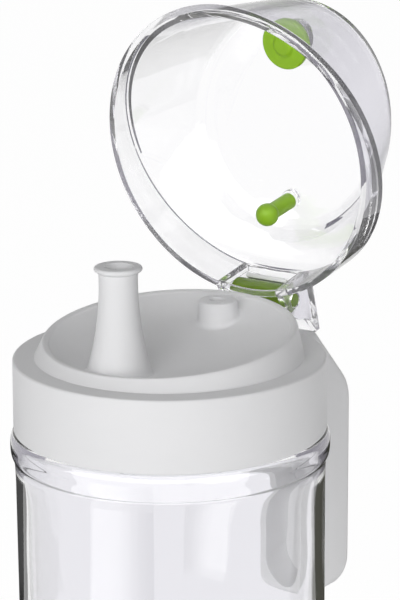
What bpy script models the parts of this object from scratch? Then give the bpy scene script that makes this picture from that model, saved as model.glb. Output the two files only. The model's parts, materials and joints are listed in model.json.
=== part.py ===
"""Oil bottle: a glass jar with a screwed pouring cap, a grip handle and a clear flip lid.

Units are metres and +Z is up. The origin is the centre of the jar's base. The handle
and the lid's hinge are at +Y, the spout is at -Y. The lid is shown open, on its stop.
Heights called *_H or *_DROP are measured from the cap's ledge, the flat ring round the tray.
"""
from math import acos, atan2, cos, pi, radians, sin, sqrt, tan

import bmesh
import bpy
from mathutils import Matrix, Vector

# Fits
GAP = 0.0003
ROUND = 54
SMALL_ROUND = 24
ARC_POINTS = 7

# The collar's radius sets the width of jar, tray and lid
COLLAR_R = 0.0440

# Jar
JAR_R = COLLAR_R - 0.0001
JAR_WALL = 0.0034
JAR_FLOOR = 0.0060
JAR_HEEL_R = 0.0060
JAR_SHOWN_HEIGHT = 0.1150
BEAD_R = JAR_R + 0.0013
BEAD_HEIGHT = 0.0086
BEAD_EDGE = 0.0010
NECK_WALL = 0.0032

# Cap: collar, handle and hinge knuckle
COLLAR_FLARE = 0.0002
COLLAR_HEIGHT = 0.0206
COLLAR_WALL = 0.0022
COLLAR_TOP = 0.0022
COLLAR_EDGE_R = 0.0008
THREAD_ROOM = 0.0018
NECK_R = COLLAR_R - COLLAR_WALL - THREAD_ROOM
HANDLE_REACH = COLLAR_R + 0.0393
HANDLE_DEPTH = 0.0180
HANDLE_HALF_WIDTH = 0.0095
HANDLE_WALL = 0.0022
HANDLE_EDGE_R = 0.0038
HANDLE_ROOT_DROP = 0.0052
HANDLE_SHOULDER_DROP = 0.0272
HANDLE_BOTTOM_DROP = 0.0920
HANDLE_UNDER_DROP = 0.0252
HANDLE_TOP_RUN = 0.0024
HANDLE_TOP_R = 0.0040
HANDLE_SHOULDER_R = 0.0140
HANDLE_FOOT_R = 0.0080
HANDLE_INNER_FOOT_R = 0.0030
HANDLE_UNDER_R = 0.0060
HANDLE_INSET = 0.0012

# Pouring insert: tray, spout and vent
FLANGE_OVERLAP = 0.0041
FLANGE = 0.0018
TRAY_FOOT_R = COLLAR_R - 0.0072
TRAY_RIM_R = TRAY_FOOT_R - 0.0016
TRAY_RIM_FRONT_H = 0.0032
TRAY_RIM_REAR_H = 0.0102
TRAY_WALL = 0.0020
TRAY_FLOOR_H = 0.0022
TRAY_FLOOR_SLOPE = 0.10
TRAY_EDGE = 0.0008
SPOUT_Y = -(TRAY_RIM_R - 0.0122)
SPOUT_TIP_H = 0.0302
SPOUT_LIP_R = 0.0066
SPOUT_NECK_R = 0.0053
SPOUT_BASE_R = 0.0083
SPOUT_BORE_R = 0.0030
SPOUT_MOUTH_R = 0.0037
SPOUT_MOUTH_DEPTH = 0.0014
SPOUT_LIP_ROUND = 0.0014
SPOUT_FOOT = 0.0010
VENT_Y = TRAY_RIM_R - 0.0115
VENT_R = 0.0057
VENT_TOP_H = 0.0106
VENT_HOLE_R = 0.0020

# Neck gasket
GASKET = 0.0018
GASKET_OUT = 0.0004

# Clear lid, measured closed
OPEN_ANGLE = radians(80)
HINGE_Y = COLLAR_R + 0.0026
HINGE_H = 0.0070
LID_R = COLLAR_R + 0.0001
LID_WALL = 0.0018
STEP_R = LID_R - 0.0037
STEP_FRONT_H = 0.0002
STEP_REAR_H = 0.0146
STEP_RISE = 0.0006
SHOULDER_RISE = 0.0018
CREASE_R = STEP_R - 0.0062
CREASE_FRONT_H = 0.0401
CREASE_REAR_H = 0.0199
TOP_MID_H = 0.0341
TOP_SLOPE = -0.206
CROWN = ((0.946, 0.62, 0.72), (0.863, 0.82, 0.38), (0.714, 0.93, 0.12), (0.417, 0.99, 0.0))
POST_TOP_SLOPE = -0.30
WINDOW_BAR = 0.0010
WINDOW_TOP_H = 0.0142
WINDOW_IN = 0.0090
WINDOW_OUT = 0.0030
CHEEK = 0.0022
CHEEK_BOSS_R = 0.0050
TAB = 0.0022
TAB_REACH = HINGE_Y + 0.0150
TAB_ROOT_H = 0.0166
TAB_TIP_H = 0.0191
TAB_ROUND = 0.0006
LEVER_ARCH = ((0.0066, 0.0007), (0.0076, 0.0040), (0.0093, 0.0066), (0.0118, 0.0082))

# Hinge pin
BARREL_R = 0.0042
BARREL_HALF = 0.0089
PEG_R = 0.0020
KNUCKLE_WALL = 0.0014
KNUCKLE_HALF = 0.0070
KNUCKLE_WEB = 0.0014
KNUCKLE_SINK = 0.0010

# Silicone parts
PAD_R = 0.0075
PAD = 0.0020
PAD_NUB_R = 0.0028
PAD_NUB = 0.0011
PAD_BOSS_R = 0.0055
PAD_STEM_R = 0.0025
PAD_STEM = 0.0034
PAD_ROUND = 0.0006
PLUG_BALL_R = 0.0034
PLUG_SHAFT_R = 0.00245
POST = 0.0016
PLUG_BASE_H = TOP_MID_H - LID_WALL + TOP_SLOPE * VENT_Y - POST
PLUG_PEG_R = 0.0014
PLUG_PEG = 0.0050
POST_R = 0.0030

# Places worked out from the sizes
LEDGE_Z = JAR_SHOWN_HEIGHT + COLLAR_HEIGHT
HINGE = Vector((0, HINGE_Y, LEDGE_Z + HINGE_H))
FLANGE_TOP_H = -COLLAR_TOP - GAP
FLANGE_LOW_H = FLANGE_TOP_H - FLANGE
NECK_TOP_H = FLANGE_LOW_H - GASKET - 2 * GAP
CHEEK_INNER_X = BARREL_HALF + 2 * GAP


def clear_scene():
    for obj in list(bpy.data.objects):
        bpy.data.objects.remove(obj)
    for collection in list(bpy.data.collections):
        bpy.data.collections.remove(collection)


def new_collection(name):
    collection = bpy.data.collections.new(name)
    bpy.context.scene.collection.children.link(collection)
    return collection


def material(name, color, roughness, transmission=0.0, ior=1.5):
    mat = bpy.data.materials.new(name)
    mat.use_nodes = True
    shader = mat.node_tree.nodes["Principled BSDF"]
    shader.inputs["Base Color"].default_value = (*color, 1)
    shader.inputs["Roughness"].default_value = roughness
    shader.inputs["Metallic"].default_value = 0.0
    shader.inputs["Transmission Weight"].default_value = transmission
    shader.inputs["IOR"].default_value = ior
    return mat


def add_object(name, mesh, collection):
    obj = bpy.data.objects.new(name, mesh)
    collection.objects.link(obj)
    return obj


def as_cutter(obj):
    obj.hide_render = True
    obj.display_type = "WIRE"
    return obj


def combine(target, tools, operation):
    for tool in tools:
        as_cutter(tool)
        modifier = target.modifiers.new(operation.title() + " " + tool.name, "BOOLEAN")
        modifier.operation = operation
        modifier.object = tool
    return target


def arc(centre, radius, start, end, count):
    """Points on an arc from start to end degrees, counted from the first axis."""
    points = []
    for i in range(count + 1):
        angle = radians(start + (end - start) * i / count)
        points.append((centre[0] + radius * cos(angle), centre[1] + radius * sin(angle)))
    return points


def rounded(corners, count=ARC_POINTS - 1):
    """An outline through corners (a, b, radius), each rounded by its own radius."""
    outline = []
    for i, (a, b, radius) in enumerate(corners):
        here = Vector((a, b))
        if not radius:
            outline.append((a, b))
            continue
        before = (Vector(corners[i - 1][:2]) - here).normalized()
        after = (Vector(corners[(i + 1) % len(corners)][:2]) - here).normalized()
        half = acos(max(-1, min(1, before.dot(after)))) / 2
        centre = here + (before + after).normalized() * radius / sin(half)
        reach = radius / tan(half)
        first = here + before * reach - centre
        turn = (here + after * reach - centre).angle_signed(first)
        start = atan2(first.y, first.x)
        for k in range(count + 1):
            angle = start + turn * k / count
            outline.append((centre.x + radius * cos(angle), centre.y + radius * sin(angle)))
    return outline


def turned(name, profile, collection, place=(0, 0, 0), closed=False, steps=ROUND):
    """A profile (radius, height) turned about the object's own Z axis."""
    mesh = bpy.data.meshes.new(name)
    count = len(profile)
    edges = [(i, (i + 1) % count) for i in range(count if closed else count - 1)]
    mesh.from_pydata([(r, 0, z) for r, z in profile], edges, [])
    obj = add_object(name, mesh, collection)
    obj.location = place
    screw = obj.modifiers.new("Turn", "SCREW")
    screw.steps = screw.render_steps = steps
    screw.use_merge_vertices = True
    screw.merge_threshold = 0.00001
    screw.use_smooth_shade = True
    return obj


def plate(name, outline, collection, half_width, middle=0.0):
    """A flat outline (y, z), as thick as twice half_width along X."""
    curve = bpy.data.curves.new(name, "CURVE")
    curve.dimensions = "2D"
    curve.fill_mode = "BOTH"
    curve.extrude = half_width
    spline = curve.splines.new("POLY")
    spline.points.add(len(outline) - 1)
    for point, (y, z) in zip(spline.points, outline):
        point.co = (y, z, 0, 1)
    spline.use_cyclic_u = True
    guide = add_object(name + " outline", curve, collection)
    guide.matrix_world = Matrix(((0, 0, 1, middle), (1, 0, 0, 0), (0, 1, 0, 0), (0, 0, 0, 1)))
    bpy.context.view_layer.update()
    mesh = bpy.data.meshes.new_from_object(guide.evaluated_get(bpy.context.evaluated_depsgraph_get()))
    mesh.name = name
    mesh.transform(guide.matrix_world)
    bpy.data.objects.remove(guide)
    cage = bmesh.new()
    cage.from_mesh(mesh)
    bmesh.ops.remove_doubles(cage, verts=cage.verts, dist=0.000001)
    bmesh.ops.dissolve_limit(cage, angle_limit=radians(0.5), verts=cage.verts, edges=cage.edges)
    bmesh.ops.recalc_face_normals(cage, faces=cage.faces)
    cage.to_mesh(mesh)
    cage.free()
    return add_object(name, mesh, collection)


def cross_rod(name, radius, half_length, centre, collection, steps=SMALL_ROUND):
    """A cylinder along X."""
    mesh = bpy.data.meshes.new(name)
    cage = bmesh.new()
    turn = Matrix.Rotation(pi / 2, 4, "Y")
    bmesh.ops.create_cone(cage, cap_ends=True, segments=steps, radius1=radius, radius2=radius,
                          depth=2 * half_length, matrix=turn)
    cage.to_mesh(mesh)
    cage.free()
    obj = add_object(name, mesh, collection)
    obj.location = centre
    return obj


def upright_rod(name, radius, low, high, y, collection, steps=SMALL_ROUND):
    """A cylinder along Z, between two heights above the ledge."""
    profile = [(0, high), (radius, high), (radius, low), (0, low)]
    return turned(name, profile, collection, (0, y, LEDGE_Z), steps=steps)


def slanted_rod(name, radius, low, high, slope, y, collection, steps=SMALL_ROUND):
    """An upright cylinder whose top face follows a slope along Y."""
    mesh = bpy.data.meshes.new(name)
    cage = bmesh.new()
    lift = Matrix.Translation((0, 0, (low + high) / 2))
    bmesh.ops.create_cone(cage, cap_ends=True, segments=steps, radius1=radius, radius2=radius,
                          depth=high - low, matrix=lift)
    for vert in cage.verts:
        if vert.co.z > (low + high) / 2:
            vert.co.z += slope * vert.co.y
    cage.to_mesh(mesh)
    cage.free()
    obj = add_object(name, mesh, collection)
    obj.location = (0, y, LEDGE_Z)
    return obj


def slanted_ring(radius, height, slope, shift=0.0):
    """A circle seen from above, whose height above the ledge grows by slope along Y."""
    ring = []
    for i in range(ROUND):
        angle = 2 * pi * i / ROUND
        y = shift + radius * cos(angle)
        ring.append(Vector((radius * sin(angle), y, LEDGE_Z + height + slope * y)))
    return ring


def lofted_shell(name, outer, inner, collection):
    """A shell through rings. outer runs from its lip to its pole, inner back to the lip."""
    cage = bmesh.new()
    loops = []
    for height, rings in ((outer[-1], outer[:-1]), (inner[0], inner[1:])):
        pole = cage.verts.new((0, 0, LEDGE_Z + height))
        made = [[cage.verts.new(point) for point in slanted_ring(*ring)] for ring in rings]
        loops.append((pole, made))
    (top_pole, top), (low_pole, low) = loops
    chain = top[::-1] + low[::-1]
    for first, second in zip(chain, chain[1:]):
        for i in range(ROUND):
            k = (i + 1) % ROUND
            cage.faces.new((first[i], first[k], second[k], second[i]))
    for pole, rim in ((top_pole, top[-1]), (low_pole, low[0])):
        for i in range(ROUND):
            cage.faces.new((pole, rim[i], rim[(i + 1) % ROUND]))
    bmesh.ops.recalc_face_normals(cage, faces=cage.faces)
    mesh = bpy.data.meshes.new(name)
    cage.to_mesh(mesh)
    cage.free()
    mesh.shade_smooth()
    mesh.set_sharp_from_angle(angle=radians(35))
    return add_object(name, mesh, collection)


def slant(front, rear, radius):
    """Mid height and slope of a ring whose front and rear heights are known."""
    return (front + rear) / 2, (rear - front) / (2 * radius)


def jar(parts):
    neck_top = LEDGE_Z + NECK_TOP_H
    bead_top = LEDGE_Z - COLLAR_HEIGHT - GAP
    bead_low = bead_top - BEAD_HEIGHT
    bead_mid = bead_top - BEAD_HEIGHT / 2
    bead_swell = BEAD_R - JAR_R
    inner = JAR_R - JAR_WALL
    neck_inner = NECK_R - NECK_WALL
    floor_r = JAR_HEEL_R + BEAD_EDGE
    profile = [(0, JAR_FLOOR)]
    profile += arc((inner - floor_r, JAR_FLOOR + floor_r), floor_r, -90, 0, 6)
    edge = BEAD_EDGE
    profile += [(inner, bead_low), (inner - 0.8 * edge, bead_mid)]
    profile += [(neck_inner, bead_top), (neck_inner, neck_top)]
    profile += [(NECK_R, neck_top), (NECK_R, bead_top + edge), (NECK_R + 1.2 * edge, bead_top)]
    profile += [(JAR_R, bead_top - 0.6 * edge), (BEAD_R - bead_swell / 4, bead_top - 2 * edge),
                (BEAD_R, bead_mid + 0.6 * edge), (BEAD_R, bead_mid - 1.6 * edge),
                (BEAD_R - bead_swell / 4, bead_low + 1.2 * edge), (JAR_R, bead_low)]
    profile += arc((JAR_R - JAR_HEEL_R, JAR_HEEL_R), JAR_HEEL_R, 0, -90, 6)
    profile.append((0, 0))
    return turned("glass_jar", profile, parts)


def gasket(parts):
    low = NECK_TOP_H + GAP
    high = low + GASKET
    outer = NECK_R + GASKET_OUT
    inner = NECK_R - NECK_WALL
    profile = [(inner, high), (outer, high), (outer, low), (inner, low)]
    return turned("neck_gasket", profile, parts, (0, 0, LEDGE_Z), closed=True)


def handle(cutters):
    """The moulded grip: a U section, open towards the jar and round at its foot."""
    root = COLLAR_R - HANDLE_INSET
    inner = HANDLE_REACH - HANDLE_DEPTH
    stop_y, stop_z = lid_stop()
    corners = [(root, -HANDLE_ROOT_DROP, 0), (stop_y + HANDLE_TOP_RUN, stop_z, HANDLE_TOP_R),
               (HANDLE_REACH, -HANDLE_SHOULDER_DROP, HANDLE_SHOULDER_R),
               (HANDLE_REACH, -HANDLE_BOTTOM_DROP, HANDLE_FOOT_R),
               (inner, -HANDLE_BOTTOM_DROP, HANDLE_INNER_FOOT_R), (inner, -HANDLE_UNDER_DROP, HANDLE_UNDER_R),
               (root, -COLLAR_HEIGHT + HANDLE_INSET, 0)]
    outline = [(y, LEDGE_Z + z) for y, z in rounded(corners)]
    grip = plate("handle solid", outline, cutters, HANDLE_HALF_WIDTH)
    cage = bmesh.new()
    cage.from_mesh(grip.data)
    outer_path = outline[:1 + 3 * ARC_POINTS]
    edges = []
    for edge in cage.edges:
        flat_end = all(abs(abs(v.co.x) - HANDLE_HALF_WIDTH) < GAP / 10 for v in edge.verts)
        same_side = abs(edge.verts[0].co.x - edge.verts[1].co.x) < GAP / 10
        on_path = all(any(abs(v.co.y - y) + abs(v.co.z - z) < GAP / 10 for y, z in outer_path)
                      for v in edge.verts)
        if flat_end and same_side and on_path:
            edges.append(edge)
    bmesh.ops.bevel(cage, geom=edges, offset=HANDLE_EDGE_R, segments=4, profile=0.5, affect="EDGES")
    cage.to_mesh(grip.data)
    cage.free()

    wall = HANDLE_WALL
    half = HANDLE_HALF_WIDTH - wall
    end = HANDLE_BOTTOM_DROP - wall - half
    channel = [(COLLAR_R + wall, -HANDLE_ROOT_DROP - 1.5 * wall, 0),
               (stop_y, stop_z - 1.2 * wall, HANDLE_TOP_R - wall / 2),
               (HANDLE_REACH - wall, -HANDLE_SHOULDER_DROP - wall / 2, HANDLE_SHOULDER_R - wall),
               (HANDLE_REACH - wall, -end, 0), (inner - wall, -end, 0),
               (inner - wall, -HANDLE_UNDER_DROP - 2 * wall, 0),
               (COLLAR_R + wall, -COLLAR_HEIGHT - 2 * wall, 0)]
    outline = [(y, LEDGE_Z + z) for y, z in rounded(channel)]
    hollow = plate("handle channel", outline, cutters, half)
    round_end = cross_rod("channel end", half - GAP / 3, HANDLE_DEPTH / 2, Vector(), cutters)
    round_end.rotation_euler = (0, 0, pi / 2)
    round_end.location = (0, HANDLE_REACH - wall - GAP / 3 - HANDLE_DEPTH / 2, LEDGE_Z - end)
    return combine(grip, [hollow, round_end], "DIFFERENCE")


def lid_stop():
    """Where the open lid's tab tip comes down: the handle's top passes just under it."""
    tip = Vector((TAB_REACH - HINGE_Y, TAB_TIP_H - HINGE_H))
    under = Vector((TAB_REACH - HINGE_Y - TAB, TAB_TIP_H - HINGE_H - TAB))
    places = []
    for point in (tip, under):
        places.append((HINGE_Y + point.x * cos(OPEN_ANGLE) + point.y * sin(OPEN_ANGLE),
                       HINGE_H - point.x * sin(OPEN_ANGLE) + point.y * cos(OPEN_ANGLE)))
    return places[0][0], min(places[0][1], places[1][1]) - 2 * GAP


def knuckle(cutters):
    """The open hook that holds the hinge barrel, on its web over the handle's root."""
    centre = (HINGE_Y, LEDGE_Z + HINGE_H)
    inner = BARREL_R + GAP
    outer = inner + KNUCKLE_WALL
    front = HINGE_Y - KNUCKLE_WEB
    base = LEDGE_Z - HANDLE_ROOT_DROP - 3.5 * KNUCKLE_SINK
    outline = arc(centre, inner, 70, -100, 14)
    outline += [(front, LEDGE_Z + GAP), (COLLAR_R - KNUCKLE_SINK, LEDGE_Z - KNUCKLE_SINK),
                (COLLAR_R - KNUCKLE_SINK, base), (HINGE_Y + outer, base)]
    outline += arc(centre, outer, 0, 70, 6)
    return plate("hinge knuckle", outline, cutters, KNUCKLE_HALF)


def collar(parts, cutters):
    """Screw collar, moulded in one with the handle and the hinge knuckle."""
    edge = COLLAR_EDGE_R
    foot_r = COLLAR_R + COLLAR_FLARE
    inner = COLLAR_R - COLLAR_WALL
    hole = TRAY_FOOT_R + GAP
    profile = [(hole, 0)]
    profile += arc((COLLAR_R - edge, -edge), edge, 90, 0, 3)
    profile += arc((foot_r - edge / 2, -COLLAR_HEIGHT + edge / 2), edge / 2, 0, -90, 2)
    profile += [(inner, -COLLAR_HEIGHT), (inner, -COLLAR_TOP), (hole, -COLLAR_TOP)]
    body = turned("collar", profile, parts, (0, 0, LEDGE_Z), closed=True)
    return combine(body, [handle(cutters), knuckle(cutters)], "UNION")


def spout(cutters):
    """Flared pouring spout, solid; its bore is cut afterwards."""
    foot = TRAY_FLOOR_H + TRAY_FLOOR_SLOPE * SPOUT_Y
    lip_r = SPOUT_LIP_ROUND
    tip = SPOUT_TIP_H
    profile = [(0, tip), (SPOUT_LIP_R - lip_r, tip)]
    profile += arc((SPOUT_LIP_R - lip_r / 2, tip - lip_r / 2), lip_r / 2, 90, -60, 4)
    waist = tip - 2.6 * lip_r
    profile += [(SPOUT_NECK_R + lip_r / 7, tip - 1.9 * lip_r), (SPOUT_NECK_R, waist)]
    for share in (0.4, 0.65, 0.85, 1.0):
        z = waist + (foot + 1.6 * SPOUT_FOOT - waist) * share
        profile.append((SPOUT_NECK_R + (SPOUT_BASE_R - SPOUT_NECK_R) * share ** 1.8, z))
    profile += [(SPOUT_BASE_R + SPOUT_FOOT, foot + 0.4 * SPOUT_FOOT),
                (SPOUT_BASE_R + 2.2 * SPOUT_FOOT, foot - SPOUT_FOOT), (0, foot - SPOUT_FOOT)]
    return turned("spout solid", profile, cutters, (0, SPOUT_Y, LEDGE_Z), steps=SMALL_ROUND)


def bowl_height(radius):
    """Height of the drip tray's floor above the ledge, at Y = 0."""
    rim = (TRAY_RIM_FRONT_H + TRAY_RIM_REAR_H) / 2 - 0.7 * TRAY_EDGE
    return TRAY_FLOOR_H + (rim - TRAY_FLOOR_H) * (radius / (TRAY_RIM_R - 1.5 * TRAY_EDGE)) ** 3.2


def pour_insert(parts, cutters):
    """Drip tray with its flange, spout and vent boss."""
    flange_r = TRAY_FOOT_R + FLANGE_OVERLAP
    rim_mid, rim_slope = slant(TRAY_RIM_FRONT_H, TRAY_RIM_REAR_H, TRAY_RIM_R)
    edge = TRAY_EDGE
    bowl = [(share * TRAY_RIM_R, bowl_height(share * TRAY_RIM_R), TRAY_FLOOR_SLOPE)
            for share in (0.92, 0.85, 0.75, 0.62, 0.43, 0.23)]
    outer = [(flange_r, FLANGE_LOW_H, 0), (flange_r, FLANGE_TOP_H, 0), (TRAY_FOOT_R, FLANGE_TOP_H, 0),
             (TRAY_FOOT_R, 0, 0), (TRAY_FOOT_R - edge / 2, 1.1 * edge, 0),
             (TRAY_RIM_R + 1.6 * edge, rim_mid - 1.5 * edge, rim_slope),
             (TRAY_RIM_R + edge, rim_mid - 0.4 * edge, rim_slope), (TRAY_RIM_R, rim_mid, rim_slope),
             (TRAY_RIM_R - 1.2 * edge, rim_mid - 0.6 * edge, rim_slope)]
    outer += bowl + [TRAY_FLOOR_H]
    under = [(r, h - TRAY_WALL, s) for r, h, s in bowl[::-1]]
    wall_r = TRAY_RIM_R - edge / 4
    inner = [TRAY_FLOOR_H - TRAY_WALL] + under
    inner += [(wall_r - edge, rim_mid - 4 * edge, rim_slope), (wall_r, rim_mid - 5.2 * edge, rim_slope),
              (wall_r, FLANGE_LOW_H, 0)]
    tray = lofted_shell("pour_insert", outer, inner, parts)

    floor_at_vent = bowl_height(VENT_Y) + TRAY_FLOOR_SLOPE * VENT_Y
    top = VENT_TOP_H
    foot = floor_at_vent - 1.5 * TRAY_WALL
    profile = [(0, top), (VENT_R - 0.7 * edge, top), (VENT_R, top - 0.7 * edge), (VENT_R + edge / 4, foot),
               (0, foot)]
    boss = turned("vent boss", profile, cutters, (0, VENT_Y, LEDGE_Z), steps=SMALL_ROUND)
    combine(tray, [spout(cutters), boss], "UNION")

    tip = SPOUT_TIP_H
    mouth = [(0, tip + TRAY_WALL), (SPOUT_MOUTH_R + TRAY_WALL / 2, tip + TRAY_WALL),
             (SPOUT_MOUTH_R - edge / 2, tip - edge), (SPOUT_BORE_R, tip - SPOUT_MOUTH_DEPTH),
             (SPOUT_BORE_R, FLANGE_LOW_H), (0, FLANGE_LOW_H)]
    bore = turned("spout bore", mouth, cutters, (0, SPOUT_Y, LEDGE_Z), steps=SMALL_ROUND)
    hole = upright_rod("vent hole", VENT_HOLE_R, FLANGE_LOW_H, VENT_TOP_H + TRAY_WALL, VENT_Y, cutters, 20)
    for cut in (bore, hole):
        cut.rotation_euler = (0, 0, pi / SMALL_ROUND)
    return combine(tray, [bore, hole], "DIFFERENCE")


def lid_rings():
    """Outer rings of the lid, lip first, then inner rings, pole first."""
    wall = LID_WALL
    step_mid, step_slope = slant(STEP_FRONT_H, STEP_REAR_H, STEP_R)
    crease_mid, crease_slope = slant(CREASE_FRONT_H, CREASE_REAR_H, CREASE_R)
    lip = GAP
    rise = STEP_RISE
    outer = [(LID_R, lip, 0), (LID_R, step_mid + rise, step_slope * STEP_R / LID_R)]
    shoulder = (STEP_R + wall, step_mid + SHOULDER_RISE, step_slope)
    outer.append(shoulder)
    for share in (1 / 3, 2 / 3):
        outer.append(tuple(a + (b - a) * share for a, b in
                           zip(shoulder, (CREASE_R + LID_WALL / 4, crease_mid, crease_slope))))
    outer.append((CREASE_R + LID_WALL / 4, crease_mid, crease_slope))
    blend = (crease_slope - TOP_SLOPE)
    crown = [(share * CREASE_R, crease_mid + (TOP_MID_H - crease_mid) * h, TOP_SLOPE + blend * s)
             for share, h, s in CROWN]
    outer += crown + [TOP_MID_H]
    inner = [TOP_MID_H - wall]
    inner += [(r - wall * 0.5, h - wall * 0.9, s) for r, h, s in crown[::-1]]
    inner_crease = (CREASE_R - wall * 0.9, crease_mid - wall * 0.4, crease_slope)
    inner.append(inner_crease)
    inner_shoulder = (STEP_R, step_mid + STEP_RISE / 3, step_slope)
    for share in (2 / 3, 1 / 3):
        inner.append(tuple(a + (b - a) * share for a, b in zip(inner_shoulder, inner_crease)))
    inner.append(inner_shoulder)
    inner_r = LID_R - wall
    inner += [(inner_r, step_mid - STEP_RISE / 3, step_slope * STEP_R / inner_r), (inner_r, lip, 0)]
    return outer, inner


def lid_top_inside(y):
    return TOP_MID_H - LID_WALL + TOP_SLOPE * y


def cheek_outline():
    """Side of the thumb lever: hinge boss, arched relief below, tab above."""
    root_y = LID_R - LID_WALL - TAB_ROUND
    boss = arc((HINGE_Y, HINGE_H), CHEEK_BOSS_R, -90, -20, 5)
    arch = [(HINGE_Y + y, HINGE_H + z) for y, z in LEVER_ARCH]
    outline = [(root_y, GAP)] + boss + arch
    tip_y = TAB_REACH - 1.6 * TAB_ROUND
    outline += [(tip_y, TAB_TIP_H - TAB), (tip_y, TAB_TIP_H - 1.3 * TAB_ROUND), (root_y, TAB_ROOT_H)]
    return [(y, LEDGE_Z + z) for y, z in outline]


def clear_lid(parts, cutters, hang):
    """Clear lid shell with its hinge window, thumb lever, pad boss and plug post."""
    outer, inner = lid_rings()
    shell = hang(lofted_shell("clear_lid", outer, inner, parts))

    low, high = GAP + WINDOW_BAR, WINDOW_TOP_H
    y_in, y_out = HINGE_Y - WINDOW_IN, HINGE_Y + WINDOW_OUT
    outline = rounded([(y_in, LEDGE_Z + low, 0), (y_out, LEDGE_Z + low, 0),
                       (y_out, LEDGE_Z + high, 0), (y_in, LEDGE_Z + high, 0)])
    window = hang(plate("hinge window", outline, cutters, CHEEK_INNER_X - GAP))
    combine(shell, [window], "DIFFERENCE")

    root_y = LID_R - LID_WALL - TAB_ROUND / 2
    tab_outline = [(root_y, TAB_ROOT_H - TAB), (TAB_REACH - TAB_ROUND, TAB_TIP_H - TAB),
                   (TAB_REACH, TAB_TIP_H - TAB + TAB_ROUND), (TAB_REACH, TAB_TIP_H - TAB_ROUND),
                   (TAB_REACH - TAB_ROUND, TAB_TIP_H), (root_y, TAB_ROOT_H)]
    outline = [(y, LEDGE_Z + z) for y, z in tab_outline]
    tab = hang(plate("thumb tab", outline, cutters, CHEEK_INNER_X + CHEEK / 2))
    cheeks = []
    for side, name in ((-1, "left cheek"), (1, "right cheek")):
        middle = side * (CHEEK_INNER_X + CHEEK / 2)
        cheeks.append(hang(plate(name, cheek_outline(), cutters, CHEEK / 2, middle)))
    pad_back = SPOUT_TIP_H + GAP + PAD + GAP
    boss_top = lid_top_inside(SPOUT_Y) + LID_WALL / 2
    pad_boss = hang(slanted_rod("pad boss", PAD_BOSS_R, pad_back, boss_top, TOP_SLOPE, SPOUT_Y, cutters))
    post_low = PLUG_BASE_H + GAP
    post_top = lid_top_inside(VENT_Y)
    post = hang(slanted_rod("plug post", POST_R, post_low, post_top, POST_TOP_SLOPE, VENT_Y, cutters))
    peg_low = PLUG_BASE_H - PLUG_PEG
    peg = hang(upright_rod("plug peg", PLUG_PEG_R, peg_low, post_top, VENT_Y, cutters, 16))
    combine(shell, [tab] + cheeks + [pad_boss, post, peg], "UNION")

    peg_holes = hang(cross_rod("hinge peg holes", PEG_R + GAP, CHEEK_INNER_X + 2 * CHEEK, HINGE, cutters, 20))
    stem_hole = hang(upright_rod("pad stem hole", PAD_STEM_R + GAP, pad_back - PAD / 2,
                                 pad_back + PAD_STEM + GAP, SPOUT_Y, cutters, 20))
    return combine(shell, [peg_holes, stem_hole], "DIFFERENCE")


def hinge_pin(parts, cutters, hang):
    """Barrel between the cheeks, with a peg through each."""
    barrel = hang(cross_rod("hinge_pin", BARREL_R, BARREL_HALF, HINGE, parts, 32))
    pegs = hang(cross_rod("hinge pegs", PEG_R, CHEEK_INNER_X + CHEEK, HINGE, cutters, 20))
    return combine(barrel, [pegs], "UNION")


def spout_pad(parts, hang):
    face = SPOUT_TIP_H + GAP
    back = face + PAD
    nub = face - PAD_NUB
    edge = PAD_ROUND
    profile = [(0, back + PAD_STEM), (PAD_STEM_R, back + PAD_STEM), (PAD_STEM_R, back), (PAD_R - edge, back),
               (PAD_R, back - edge), (PAD_R, face + edge), (PAD_R - edge, face), (PAD_NUB_R + edge, face),
               (PAD_NUB_R, nub + edge), (PAD_NUB_R - edge, nub), (0, nub)]
    return hang(turned("spout_pad", profile, parts, (0, SPOUT_Y, LEDGE_Z), steps=SMALL_ROUND))


def vent_plug(parts, hang):
    """Silicone pin over the clear peg; its ball closes the vent hole."""
    seat = sqrt(PLUG_BALL_R ** 2 - VENT_HOLE_R ** 2)
    ball_h = VENT_TOP_H + seat + GAP * PLUG_BALL_R / seat
    neck_angle = 90 - 180 / pi * atan2(PLUG_SHAFT_R, sqrt(PLUG_BALL_R ** 2 - PLUG_SHAFT_R ** 2))
    bore_r = PLUG_PEG_R + GAP
    bore_end = PLUG_BASE_H - PLUG_PEG - GAP
    profile = [(0, bore_end), (bore_r, bore_end), (bore_r, PLUG_BASE_H), (PLUG_SHAFT_R - GAP, PLUG_BASE_H),
               (PLUG_SHAFT_R, PLUG_BASE_H - GAP)]
    profile += arc((0, ball_h), PLUG_BALL_R, neck_angle, -90, 8)
    return hang(turned("vent_plug", profile, parts, (0, VENT_Y, LEDGE_Z), steps=24))


def paint(obj, mat):
    if not obj.data.materials:
        obj.data.materials.append(mat)
    obj.data.materials[0] = mat


def main():
    clear_scene()
    parts = new_collection("oil_bottle")
    cutters = new_collection("cutters")

    pivot = bpy.data.objects.new("lid_pivot", None)
    parts.objects.link(pivot)
    pivot.location = HINGE
    pivot.rotation_euler = (-OPEN_ANGLE, 0, 0)

    def hang(obj):
        """Carry a piece, modelled closed, on the lid's pivot."""
        obj.parent = pivot
        obj.location = obj.location - HINGE
        return obj

    glass = material("glass", (0.93, 0.95, 0.94), 0.02, 1.0, 1.5)
    white = material("white_plastic", (0.80, 0.81, 0.82), 0.38)
    clear = material("clear_plastic", (0.93, 0.93, 0.96), 0.03, 1.0, 1.49)
    green = material("green_silicone", (0.23, 0.43, 0.02), 0.42)
    seal = material("clear_silicone", (0.78, 0.79, 0.78), 0.50)

    paint(jar(parts), glass)
    paint(gasket(parts), seal)
    paint(collar(parts, cutters), white)
    paint(pour_insert(parts, cutters), white)
    paint(clear_lid(parts, cutters, hang), clear)
    paint(hinge_pin(parts, cutters, hang), green)
    paint(spout_pad(parts, hang), green)
    paint(vent_plug(parts, hang), green)


main()
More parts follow.
